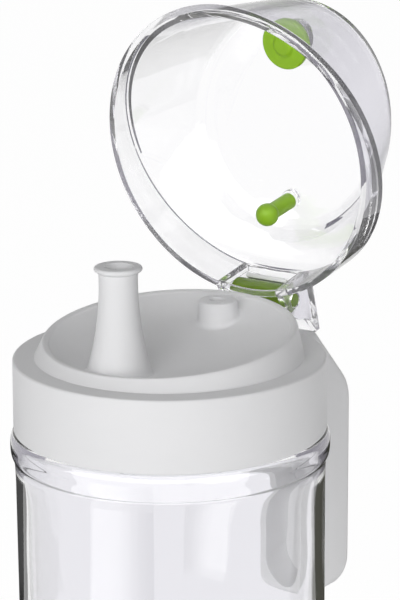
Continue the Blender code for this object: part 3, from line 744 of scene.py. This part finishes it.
def spout():
    """The spout's flared wall with its rolled lip, solid until the bore is cut."""
    tip = SPOUT_TIP_H
    lip = SPOUT_LIP
    waist = tip - SPOUT_NECK
    foot = bowl_at(0, SPOUT_Y) + SPOUT_FOOT
    path = [(SPOUT_LIP_R - lip * 0.75, tip)]
    path += arc((SPOUT_LIP_R - lip / 2, tip - lip / 2), lip / 2, 90, -80, 14)
    path += [(SPOUT_NECK_R + 0.0006, tip - lip - 0.00015), (SPOUT_NECK_R + 0.0001, tip - lip - 0.0005),
             (SPOUT_NECK_R, waist)]
    for k in range(1, SPOUT_RINGS + 1):
        share = k / SPOUT_RINGS
        path.append((SPOUT_NECK_R + (SPOUT_BASE_R - SPOUT_NECK_R) * share ** SPOUT_FLARE_POWER,
                     waist + (foot - waist) * share))
    return standing("spout", SPOUT_Y, path, SPOUT_FILLET)


def vent_boss():
    """The short round boss of the vent, solid until the hole is cut."""
    top = VENT_TOP_H
    floor_h = bowl_at(0, VENT_Y)
    path = [(VENT_R - VENT_ROUND - 0.0005, top)]
    path += arc((VENT_R - VENT_ROUND, top - VENT_ROUND), VENT_ROUND, 90, 0, 8)
    path += [(VENT_R + VENT_DRAFT / 2, (top + floor_h) / 2), (VENT_R + VENT_DRAFT, floor_h + VENT_FILLET)]
    return standing("vent_boss", VENT_Y, path, VENT_FILLET)


def bores():
    """Cutters for the spout's bore with its wider mouth, and for the vent's hole."""
    tip, top = SPOUT_TIP_H, VENT_TOP_H
    path = [(0, tip + CUT_PAST), (SPOUT_MOUTH_R + 0.0022, tip + CUT_PAST), (SPOUT_MOUTH_R + 0.0002, tip),
            (SPOUT_MOUTH_R - 0.0005, tip - 0.0010), (SPOUT_BORE_R, tip - SPOUT_MOUTH_DEPTH),
            (SPOUT_BORE_R, CUT_LOW_H), (0, CUT_LOW_H)]
    path = soften(path, [0, 0, 0.0005, 0.0006, 0.0006, 0, 0])
    bore = turned("bore", path, SMALL_TURN, (0, SPOUT_Y, LEDGE_Z))
    path = [(0, top + CUT_PAST), (VENT_HOLE_R + CUT_PAST, top + CUT_PAST), (VENT_HOLE_R, top - GAP),
            (VENT_HOLE_R, CUT_LOW_H), (0, CUT_LOW_H)]
    hole = turned("hole", soften(path, [0, 0, 0.0004, 0, 0]), 64, (0, VENT_Y, LEDGE_Z))
    for cut in (bore, hole):
        cut.data.transform(Matrix.Rotation(CUT_TURN, 4, "Z"))
    return [bore, hole]


def tray():
    """Drip tray with its flange, spout and vent boss."""
    body = combine(tray_body(), [spout(), vent_boss()], "UNION")
    return shade(combine(body, bores(), "DIFFERENCE"))


def lid_rings():
    """Outer and inner rings of the lid (radius, height, slope), from the lip to the pole."""
    wall = LID_WALL
    step_mid, step_slope = slant(STEP_FRONT_H, STEP_REAR_H, STEP_R)
    crease_mid, crease_slope = slant(CREASE_FRONT_H, CREASE_REAR_H, CREASE_R)
    blend = crease_slope - TOP_SLOPE
    skirt_r = LID_R - wall
    drawn_r = skirt_r - STEP_DRAFT
    outer = [(LID_R - wall / 2, GAP, 0), (LID_R, GAP, 0),
             (LID_R, step_mid + STEP_RISE, step_slope * STEP_R / LID_R),
             (STEP_R + wall, step_mid + SHOULDER_RISE, step_slope),
             (CREASE_R + CREASE_OUT, crease_mid, crease_slope)]
    inner = [(LID_R - wall / 2, GAP, 0), (skirt_r, GAP, 0),
             (drawn_r, step_mid - 0.0002, step_slope * STEP_R / drawn_r),
             (STEP_R, step_mid + 0.0002, step_slope),
             (CREASE_R - wall * 0.9, crease_mid - wall * 0.4, crease_slope)]
    for share, h, s in CROWN:
        radius, height = share * CREASE_R, crease_mid + (TOP_MID_H - crease_mid) * h
        outer.append((radius, height, TOP_SLOPE + blend * s))
        inner.append((radius - wall * 0.5 * min(1, share * 2), height - wall * 0.95, TOP_SLOPE + blend * s))
    crown_soft = [0.0030, 0.0030, 0.0060, 0.0060, 0]
    soft = [0, 0.0004, 0.0004, 0.0005, 0.0010] + crown_soft
    soft_in = [0, 0.0004, 0.0005, 0.0006, 0.0008] + crown_soft
    return divide(soften(outer, soft), LID_STEP), divide(soften(inner, soft_in), LID_STEP)


def rod(name, radius, low, high, middle_y, top_slope=0.0, steps=48):
    """An upright cylinder between two heights above the ledge, whose top may follow a slope along Y."""
    points = circle(radius, middle_y, steps)
    bottom = [(x, y, LEDGE_Z + low) for x, y in points]
    top = [(x, y, LEDGE_Z + high + top_slope * (y - middle_y)) for x, y in points]
    return skin(name, [[(0, middle_y, LEDGE_Z + low)], bottom, top, [(0, middle_y, LEDGE_Z + high)]])


def cross_rod(name, profile, steps=64):
    """A profile (radius, x) turned about the hinge's axis."""
    obj = turned(name, profile, steps)
    obj.data.transform(Matrix.Translation(HINGE) @ Matrix.Rotation(pi / 2, 4, "Y"))
    return obj


def cheek_outline():
    """Side of the thumb lever: hinge boss, arched relief below, tab above."""
    root_y = LID_R - LID_WALL - TAB_ROUND
    tip_y = TAB_REACH - LEVER_TIP
    boss = arc((HINGE_Y, HINGE_H), CHEEK_BOSS_R, -90, -20, 14)
    arch = [boss[-1], *((HINGE_Y + y, HINGE_H + z) for y, z in LEVER_ARCH)]
    tip = [(tip_y, TAB_TIP_H - TAB), (tip_y, TAB_TIP_H - 0.8 * LEVER_TIP), (root_y, TAB_ROOT_H)]
    outline = [(root_y, GAP)] + boss[:-1] + soften(arch, 0.0020, 5) + tip
    return [(y, LEDGE_Z + z) for y, z in outline]


def window():
    """Cutter for the opening in the lid's skirt, over the hinge barrel."""
    low, high = GAP + WINDOW_BAR, WINDOW_TOP_H
    y_in, y_out = HINGE_Y - WINDOW_IN, HINGE_Y + WINDOW_OUT
    outline = [(y_in, LEDGE_Z + low), (y_out, LEDGE_Z + low), (y_out, LEDGE_Z + high), (y_in, LEDGE_Z + high)]
    return bevelled(plate("window", outline, CHEEK_INNER_X - GAP), 0.0004, 3, 60)


def lever():
    """The thumb tab and the two cheeks under its ends."""
    root_y = LID_R - LID_WALL - TAB_ROUND / 2
    corners = [(root_y, TAB_ROOT_H - TAB), (TAB_REACH - TAB_ROUND, TAB_TIP_H - TAB),
               (TAB_REACH, TAB_TIP_H - TAB + TAB_ROUND), (TAB_REACH, TAB_TIP_H - TAB_ROUND),
               (TAB_REACH - TAB_ROUND, TAB_TIP_H), (root_y, TAB_ROOT_H)]
    outline = [(y, LEDGE_Z + z) for y, z in corners]
    middle = CHEEK_INNER_X + CHEEK / 2
    parts = [bevelled(plate("tab", outline, middle), TAB_EDGE, 3)]
    for side in (-1, 1):
        parts.append(bevelled(plate("cheek", cheek_outline(), CHEEK / 2, side * middle), FINE_EDGE, 3, 60))
    return parts


def lid():
    """Clear lid shell with its hinge window, thumb lever, pad boss and plug post."""
    outer, inner = lid_rings()
    rings = [[(0, 0, LEDGE_Z + TOP_MID_H)]] + [slanted_ring(*ring) for ring in outer[::-1]]
    rings += [slanted_ring(*ring) for ring in inner[1:]] + [[(0, 0, LEDGE_Z + TOP_MID_H - LID_WALL)]]
    shell = combine(skin("lid_shell", rings), [window()], "DIFFERENCE")

    pad_back = SPOUT_TIP_H + PAD + 2 * GAP
    boss_top = TOP_MID_H - LID_WALL / 2 + TOP_SLOPE * SPOUT_Y
    parts = lever()
    boss = rod("pad_boss", PAD_BOSS_R, pad_back, boss_top, SPOUT_Y, TOP_SLOPE)
    post = rod("post", POST_R, PLUG_BASE_H + GAP, PLUG_TOP_H, VENT_Y, POST_TOP_SLOPE)
    parts += [bevelled(boss, FINE_EDGE), bevelled(post, FINE_EDGE)]
    parts.append(rod("peg", PLUG_PEG_R, PLUG_BASE_H - PLUG_PEG, PLUG_TOP_H, VENT_Y, steps=32))
    combine(shell, parts, "UNION")

    reach = CHEEK_INNER_X + 2 * CHEEK
    pegs = cross_rod("peg_holes", [(0, -reach), (PEG_R + GAP, -reach), (PEG_R + GAP, reach), (0, reach)], 48)
    stem = rod("stem_hole", PAD_STEM_R + GAP, pad_back - CUT_PAST / 2, pad_back + PAD_STEM + GAP, SPOUT_Y)
    combine(shell, [pegs, stem], "DIFFERENCE")
    return shade(swung(shell), LID_SHARP)


def hinge_barrel():
    """The barrel between the lid's cheeks, with its two pegs."""
    half, peg_end = BARREL_HALF, CHEEK_INNER_X + CHEEK
    path = [(0, -peg_end), (PEG_R, -peg_end), (PEG_R, -half), (BARREL_R, -half), (BARREL_R, half),
            (PEG_R, half), (PEG_R, peg_end), (0, peg_end)]
    soft = [0, 0.0003, 0.0002, 0.0005, 0.0005, 0.0002, 0.0003, 0]
    return cross_rod("hinge_barrel", divide(soften(path, soft), BARREL_STEP))


def pad():
    """Disc with the nub that closes the spout, and its stem."""
    face = SPOUT_TIP_H + GAP
    back = face + PAD
    nub = face - PAD_NUB
    path = [(0, back + PAD_STEM), (PAD_STEM_R, back + PAD_STEM), (PAD_STEM_R, back), (PAD_R, back),
            (PAD_R, face), (PAD_NUB_R + PAD_NUB_FOOT, face), (PAD_NUB_R, nub), (0, nub)]
    soft = [0, 0.0004, 0.0004, 0.0005, 0.0007, 0.0009, 0.0008, 0]
    return swung(turned("spout_seal", soften(path, soft), SMALL_TURN, (0, SPOUT_Y, LEDGE_Z)))


def plug():
    """Silicone pin over the clear peg; its ball closes the vent hole."""
    seat = sqrt(PLUG_BALL_R ** 2 - VENT_HOLE_R ** 2)
    ball_h = VENT_TOP_H + seat + GAP * PLUG_BALL_R / seat
    join = PLUG_JOIN_R
    neck_h = ball_h + sqrt((PLUG_BALL_R + join) ** 2 - (PLUG_SHAFT_R + join) ** 2)
    ball_top = 90 - degrees(atan2(PLUG_SHAFT_R + join, neck_h - ball_h))
    bore_r = PLUG_PEG_R + GAP
    bore_end = PLUG_BASE_H - PLUG_PEG - GAP
    path = [(0, bore_end), (bore_r, bore_end), (bore_r, PLUG_BASE_H), (PLUG_SHAFT_R, PLUG_BASE_H),
            (PLUG_SHAFT_R, neck_h + GAP / 3)]
    path = soften(path, [0, 0, 0.0002, 0.0005, 0])
    path += arc((PLUG_SHAFT_R + join, neck_h), join, 180, 180 + ball_top, 8)[1:]
    path += arc((0, ball_h), PLUG_BALL_R, ball_top, -90, 28)[1:-1] + [(0, ball_h - PLUG_BALL_R)]
    return swung(turned("vent_seal", path, SMALL_TURN, (0, VENT_Y, LEDGE_Z)))


def fill(tree, node, inputs):
    """Gives a node's inputs their values, or other nodes' outputs."""
    for name, value in inputs.items():
        if isinstance(value, bpy.types.NodeSocket):
            tree.links.new(value, node.inputs[name])
        else:
            node.inputs[name].default_value = value
    return node


def add(tree, kind, inputs=None, **settings):
    """A new shader node with its settings and inputs."""
    node = tree.nodes.new("ShaderNode" + kind)
    for name, value in settings.items():
        setattr(node, name, value)
    return fill(tree, node, inputs or {})


def new_material(name):
    """A material, its node tree and its shader."""
    mat = bpy.data.materials.new(name)
    mat.use_nodes = True
    return mat, mat.node_tree, mat.node_tree.nodes["Principled BSDF"]


def mix_shaders(tree, share, first, second):
    """Shows a mix of two shaders. share is the second one's part."""
    mix = add(tree, "MixShader", {"Fac": share, 1: first.outputs[0], 2: second.outputs[0]})
    tree.links.new(mix.outputs["Shader"], tree.nodes["Material Output"].inputs["Surface"])


def noise(tree, scale, detail=3.0):
    """Noise in the object's own space."""
    space = add(tree, "TexCoord").outputs["Object"]
    inputs = {"Vector": space, "Scale": scale, "Detail": detail, "Roughness": 0.5}
    return add(tree, "TexNoise", inputs).outputs["Fac"]


def map_range(tree, value, start, end, low, high, kind="LINEAR"):
    """Maps what lies from start to end to what lies from low to high."""
    inputs = {"Value": value, "From Min": start, "From Max": end, "To Min": low, "To Max": high}
    return add(tree, "MapRange", inputs, interpolation_type=kind).outputs["Result"]


def spread(tree, value, low, high):
    """Maps noise to the range from low to high."""
    return map_range(tree, value, NOISE_LOW, NOISE_HIGH, low, high)


def blend_colours(tree, value, first, second):
    """From the first colour at 0 to the second at 1."""
    inputs = {"Factor": value, "A": (*first, 1), "B": (*second, 1)}
    return add(tree, "Mix", inputs, data_type="RGBA").outputs["Result"]


def painted_edge_shade(tree, colour, edge):
    """A colour that turns to a darker one where the surface is seen edge on: painted shade along the edges.
    """
    facing = add(tree, "LayerWeight", {"Blend": 0.5}).outputs["Facing"]
    rim = map_range(tree, facing, EDGE_SHADE_START, EDGE_SHADE_END, 0.0, 1.0, "SMOOTHSTEP")
    return blend_colours(tree, rim, colour, edge)


def bump(tree, value, distance, strength=0.3):
    """The surface's normal with noise as its height."""
    return add(tree, "Bump", {"Height": value, "Distance": distance, "Strength": strength}).outputs["Normal"]


def white_plastic():
    """Satin moulded plastic, a little uneven in tone and gloss, with a fine grain."""
    mat, tree, shader = new_material("white_plastic")
    patches = spread(tree, noise(tree, 60), 0.0, 1.0)
    fill(tree, shader, {
        "IOR": 1.48,
        "Specular IOR Level": 0.25,
        "Base Color": blend_colours(tree, patches, (0.806, 0.805, 0.815), (0.792, 0.792, 0.802)),
        "Roughness": spread(tree, noise(tree, 900), 0.42, 0.50),
        "Normal": bump(tree, noise(tree, 2600, 2.0), 0.000006, 0.2)})
    return mat


def green_silicone(name, light, dark, smooth):
    """Smooth satin silicone between two greens. smooth is its least roughness."""
    mat, tree, shader = new_material(name)
    fill(tree, shader, {
        "IOR": 1.42,
        "Base Color": blend_colours(tree, spread(tree, noise(tree, 240), 0.0, 1.0), light, dark),
        "Roughness": spread(tree, noise(tree, 1500), smooth, 1.4 * smooth),
        "Normal": bump(tree, noise(tree, 3000, 2.0), 0.00002)})
    return mat


def seal_silicone():
    """The gasket's translucent silicone."""
    mat, tree, shader = new_material("clear_silicone")
    fill(tree, shader, {
        "Transmission Weight": 0.5,
        "IOR": 1.41,
        "Base Color": (0.86, 0.87, 0.86, 1),
        "Roughness": spread(tree, noise(tree, 700), 0.42, 0.55)})
    return mat


def clear(name, colour, edge, ior, roughness, wave, wave_scale, thin):
    """Clear glass or plastic, which lets the lamps' light through. edge is the painted shade it turns to
    where seen edge on, wave the height of its surface's waves, and thin the share of what is behind it that
    passes unbent."""
    mat, tree, shader = new_material(name)
    fill(tree, shader, {
        "Base Color": painted_edge_shade(tree, colour, edge),
        "Transmission Weight": 1.0,
        "IOR": ior,
        "Roughness": spread(tree, noise(tree, 400), roughness * 0.6, roughness * 1.4),
        "Normal": bump(tree, noise(tree, wave_scale, 2.0), wave, 0.5)})
    unbent = add(tree, "BsdfTransparent", {"Color": (*[c ** 0.5 for c in colour], 1)})
    share = calculate(tree, "MAXIMUM", light_path(tree, "Is Shadow Ray"), thin)
    mix_shaders(tree, share, shader, unbent)
    return mat


def light_path(tree, name):
    """One of the Light Path node's facts about the ray."""
    return add(tree, "LightPath").outputs[name]


def calculate(tree, operation, first, second):
    """What a Math node makes of two values, each a number or another node's output."""
    return add(tree, "Math", {0: first, 1: second}, operation=operation).outputs["Value"]


def seen_by_eye(tree, in_gloss):
    """1 for rays that reach the camera straight or through glass, in_gloss for a reflection."""
    gloss = calculate(tree, "MULTIPLY", light_path(tree, "Is Glossy Ray"), in_gloss)
    through = light_path(tree, "Is Transmission Ray")
    straight = calculate(tree, "MAXIMUM", light_path(tree, "Is Camera Ray"), through)
    return calculate(tree, "MAXIMUM", straight, gloss)


def backdrop_colour(tree):
    """White, and a little lilac where it is seen through two walls."""
    walls = calculate(tree, "GREATER_THAN", light_path(tree, "Transmission Depth"), 2.5)
    return blend_colours(tree, walls, WHITE, BACKDROP_THROUGH_WALLS)


def floor():
    """A plain pale floor, white to the eye, that keeps a faint shadow."""
    cage = bmesh.new()
    bmesh.ops.create_grid(cage, x_segments=1, y_segments=1, size=FLOOR_SIZE)
    obj = new_object("floor", cage)
    mat, tree, shader = new_material("floor")
    tree.nodes.remove(shader)
    matt = add(tree, "BsdfDiffuse", {"Color": (0.93, 0.93, 0.93, 1)})
    glow = add(tree, "Emission", {"Color": backdrop_colour(tree), "Strength": FLOOR_GLOW})
    seen = calculate(tree, "MULTIPLY", seen_by_eye(tree, 1.0), FLOOR_SEEN)
    mix_shaders(tree, calculate(tree, "MAXIMUM", seen, FLOOR_UNSEEN), matt, glow)
    obj.data.materials.append(mat)


def world():
    """White to the eye, dimmer overhead in reflections, and a weaker even light on the object."""
    sky = bpy.data.worlds.new("studio")
    bpy.context.scene.world = sky
    sky.use_nodes = True
    tree = sky.node_tree
    way = add(tree, "TexCoord").outputs["Generated"]
    upward = add(tree, "SeparateXYZ", {"Vector": way}).outputs["Z"]
    ceiling = map_range(tree, upward, CEILING_START, CEILING_END, 1.0, CEILING, "SMOOTHSTEP")
    level = calculate(tree, "MAXIMUM", seen_by_eye(tree, ceiling), SKY_LIGHT)
    fill(tree, tree.nodes["Background"], {"Color": backdrop_colour(tree), "Strength": level})


def card_strip(name, start, end, near, low, high, lean):
    """A strip on an arc round the bottle, from start to end degrees, counted from the far side. near is the
    radius of its lower edge, and lean is how much further out its upper edge stands."""
    cage = bmesh.new()
    columns = []
    for k in range(CARD_SPANS + 1):
        turn = CAMERA_TURN + radians(180 - start - (end - start) * k / CARD_SPANS)
        away = Vector((sin(turn), -cos(turn), 0))
        columns.append((cage.verts.new(away * near + Vector((0, 0, low))),
                        cage.verts.new(away * (near + lean) + Vector((0, 0, high)))))
    for first, second in zip(columns, columns[1:]):
        cage.faces.new((first[0], second[0], second[1], first[1]))
    return new_object(name, cage)


def card_material(name, colour, inside, bent):
    """Light for the rays that are to see the card, and nothing for the others."""
    mat, tree, shader = new_material(name)
    tree.nodes.remove(shader)
    level = add(tree, "Attribute", attribute_name="level").outputs["Fac"]
    light = add(tree, "Emission", {"Color": (*colour, 1), "Strength": level})
    nothing = add(tree, "BsdfTransparent")
    shown = calculate(tree, "GREATER_THAN", light_path(tree, "Glossy Depth"), 0.5)
    passed = calculate(tree, "GREATER_THAN", light_path(tree, "Transmission Depth"), 0.5)
    if bent:
        walls = calculate(tree, "LESS_THAN", light_path(tree, "Transmission Depth"), 2.5)
        shown = calculate(tree, "SUBTRACT", walls, shown)
    if bent or inside:
        shown = calculate(tree, "MULTIPLY", shown, passed)
    mix_shaders(tree, shown, nothing, light)
    return mat


def flag(name, start, end, near, low, high, colour, lean=0.0, inside=True, strength=1.0, bent=False,
         fade=1.0):
    """A studio card that shows only in reflections, or only in those inside the clear parts. With bent it
    shows through one clear wall, placed so that only strongly bent rays meet it. fade is the share of its
    light that is left at its start."""
    obj = card_strip(name, start, end, near, low, high, lean)
    level = obj.data.attributes.new("level", "FLOAT", "POINT")
    for k, point in enumerate(level.data):
        share = min(1, k // 2 / CARD_FADE_SPANS)
        point.value = strength * (fade + (1 - fade) * share * share * (3 - 2 * share))
    obj.data.materials.append(card_material(name, colour, inside, bent))
    obj.visible_camera = obj.visible_diffuse = obj.visible_shadow = False


def flags():
    """Dark cards at the sides draw the edges of the clear parts, and lit ones in front their highlights."""
    green_grey, grey, lilac_grey = (0.075, 0.075, 0.062), (0.07, 0.07, 0.07), (0.10, 0.10, 0.13)
    for name, start, end, colour in (("right", 1, 56, green_grey), ("left", -46, -12, grey)):
        flag("flag_low_" + name, start, end, near=0.11, low=0.002, high=0.002, colour=colour, lean=0.27,
             inside=False)
    flag("flag_right", 6, 75, near=0.60, low=0.0, high=0.55, colour=(0.27, 0.26, 0.30))
    flag("flag_left", -75, -14, near=0.60, low=0.0, high=0.55, colour=(0.38, 0.37, 0.42))
    flag("edge_right", 26, 100, near=0.50, low=0.0, high=0.70, colour=lilac_grey, bent=True)
    flag("edge_left", -100, -26, near=0.50, low=0.0, high=0.70, colour=lilac_grey, bent=True)
    spans = (("left", -110, -13, 0.37), ("mid", -13, 13, 0.26), ("right", 13, 110, 0.37))
    for name, start, end, lean in spans:
        flag("edge_low_" + name, start, end, near=0.12, low=0.001, high=0.001, colour=(0.16, 0.155, 0.19),
             lean=lean, bent=True)
    flag("card_low", 192, 237, near=0.09, low=0.003, high=0.003, colour=WHITE, lean=0.40, inside=False,
         strength=2.4, fade=0.0)
    flag("card_front", 118, 260, near=1.0, low=0.35, high=1.2, colour=WHITE, lean=-0.4, inside=False,
         strength=4.0)


def lamp(name, size, power):
    """A soft lamp that is itself never seen."""
    data = bpy.data.lights.new(name, "AREA")
    data.shape = "RECTANGLE"
    data.size, data.size_y = size
    data.energy = power
    obj = bpy.data.objects.new(name, data)
    bpy.context.scene.collection.objects.link(obj)
    obj.visible_camera = obj.visible_glossy = obj.visible_transmission = False
    return obj


def lights():
    """The large soft lamp beside the camera, and two weak ones that lighten the handle's shadows."""
    key = lamp("key", KEY_SIZE, KEY_POWER)
    turn = CAMERA_TURN + KEY_TURN
    aim = Vector((0, 0, LEDGE_Z))
    away = Vector((sin(turn) * cos(KEY_RISE), -cos(turn) * cos(KEY_RISE), sin(KEY_RISE)))
    key.location = aim + KEY_DISTANCE * away
    key.rotation_euler = (aim - key.location).to_track_quat("-Z", "Y").to_euler()
    glow = lamp("floor_glow", FLOOR_LAMP_SIZE, FLOOR_LAMP_POWER)
    glow.location = FLOOR_LAMP_PLACE
    glow.rotation_euler = (pi, 0, 0)
    glow = lamp("jar_glow", JAR_LAMP_SIZE, JAR_LAMP_POWER)
    glow.location = JAR_LAMP_PLACE
    glow.rotation_euler = (pi / 2, 0, 0)


def camera():
    """The photograph's view, with the bottle off its centre and a slight roll."""
    data = bpy.data.cameras.new("camera")
    data.lens = CAMERA_LENS
    data.sensor_width = 36.0
    data.clip_start, data.clip_end = 0.01, 50
    obj = bpy.data.objects.new("camera", data)
    bpy.context.scene.collection.objects.link(obj)
    along = cos(CAMERA_PITCH)
    sight = Vector((sin(CAMERA_YAW) * along, cos(CAMERA_YAW) * along, -sin(CAMERA_PITCH)))
    level = Vector((cos(CAMERA_YAW), -sin(CAMERA_YAW), 0))
    above = level.cross(sight)
    right = level * cos(CAMERA_ROLL) + above * sin(CAMERA_ROLL)
    up = above * cos(CAMERA_ROLL) - level * sin(CAMERA_ROLL)
    turn = Matrix.Rotation(CAMERA_TURN, 3, "Z")
    columns = [turn @ right, turn @ up, -(turn @ sight)]
    pose = Matrix(columns).transposed().to_4x4()
    pose.translation = turn @ Vector((0, -CAMERA_DISTANCE, 0)) + Vector((0, 0, LEDGE_Z + CAMERA_ABOVE_LEDGE))
    obj.matrix_world = pose
    bpy.context.scene.camera = obj


def main():
    """Makes the pieces, gives each its material and body, hides the nodes they replace, and sets the stage.
    """
    white = white_plastic()
    green = green_silicone("green_silicone", (0.255, 0.470, 0.012), (0.235, 0.440, 0.010), smooth=0.30)
    # A darker copy of the same green silicone: painted shade for the hinge barrel inside the hinge
    shaded_green = green_silicone("green_silicone_painted_shade", (0.150, 0.250, 0.012), (0.130, 0.225, 0.010),
                                smooth=0.14)
    seal = seal_silicone()
    # The edge colours are painted shade: the jar and the lid turn darker where they are seen edge on
    glass = clear("jar_glass", colour=(0.985, 0.985, 0.985), edge=(0.62, 0.62, 0.62), ior=1.52,
                  roughness=0.015, wave=0.00002, wave_scale=60, thin=0.0)
    plastic = clear("clear_plastic", colour=(0.988, 0.986, 0.994), edge=(0.52, 0.51, 0.58), ior=1.50,
                    roughness=0.008, wave=0.00001, wave_scale=90, thin=0.05)

    dress(jar(), glass, "jar", "glass", "glass_jar")
    dress(gasket(), seal, "gasket", "clear_silicone", "neck_gasket")
    dress(collar(), white, "cap", "white_plastic", "collar")
    dress(tray(), white, "cap", "white_plastic", "pour_insert")
    dress(lid(), plastic, "lid", "clear_plastic", "clear_lid")
    # The hinge barrel takes the copy of the green silicone with painted shade
    dress(hinge_barrel(), shaded_green, "lid", "green_silicone", "hinge_pin")
    dress(pad(), green, "lid", "green_silicone", "spout_pad")
    dress(plug(), green, "lid", "green_silicone", "vent_plug")

    floor()
    world()
    flags()
    lights()
    camera()
    bpy.context.scene.view_settings.view_transform = "Standard"


main()
bpy.context.view_layer.update()
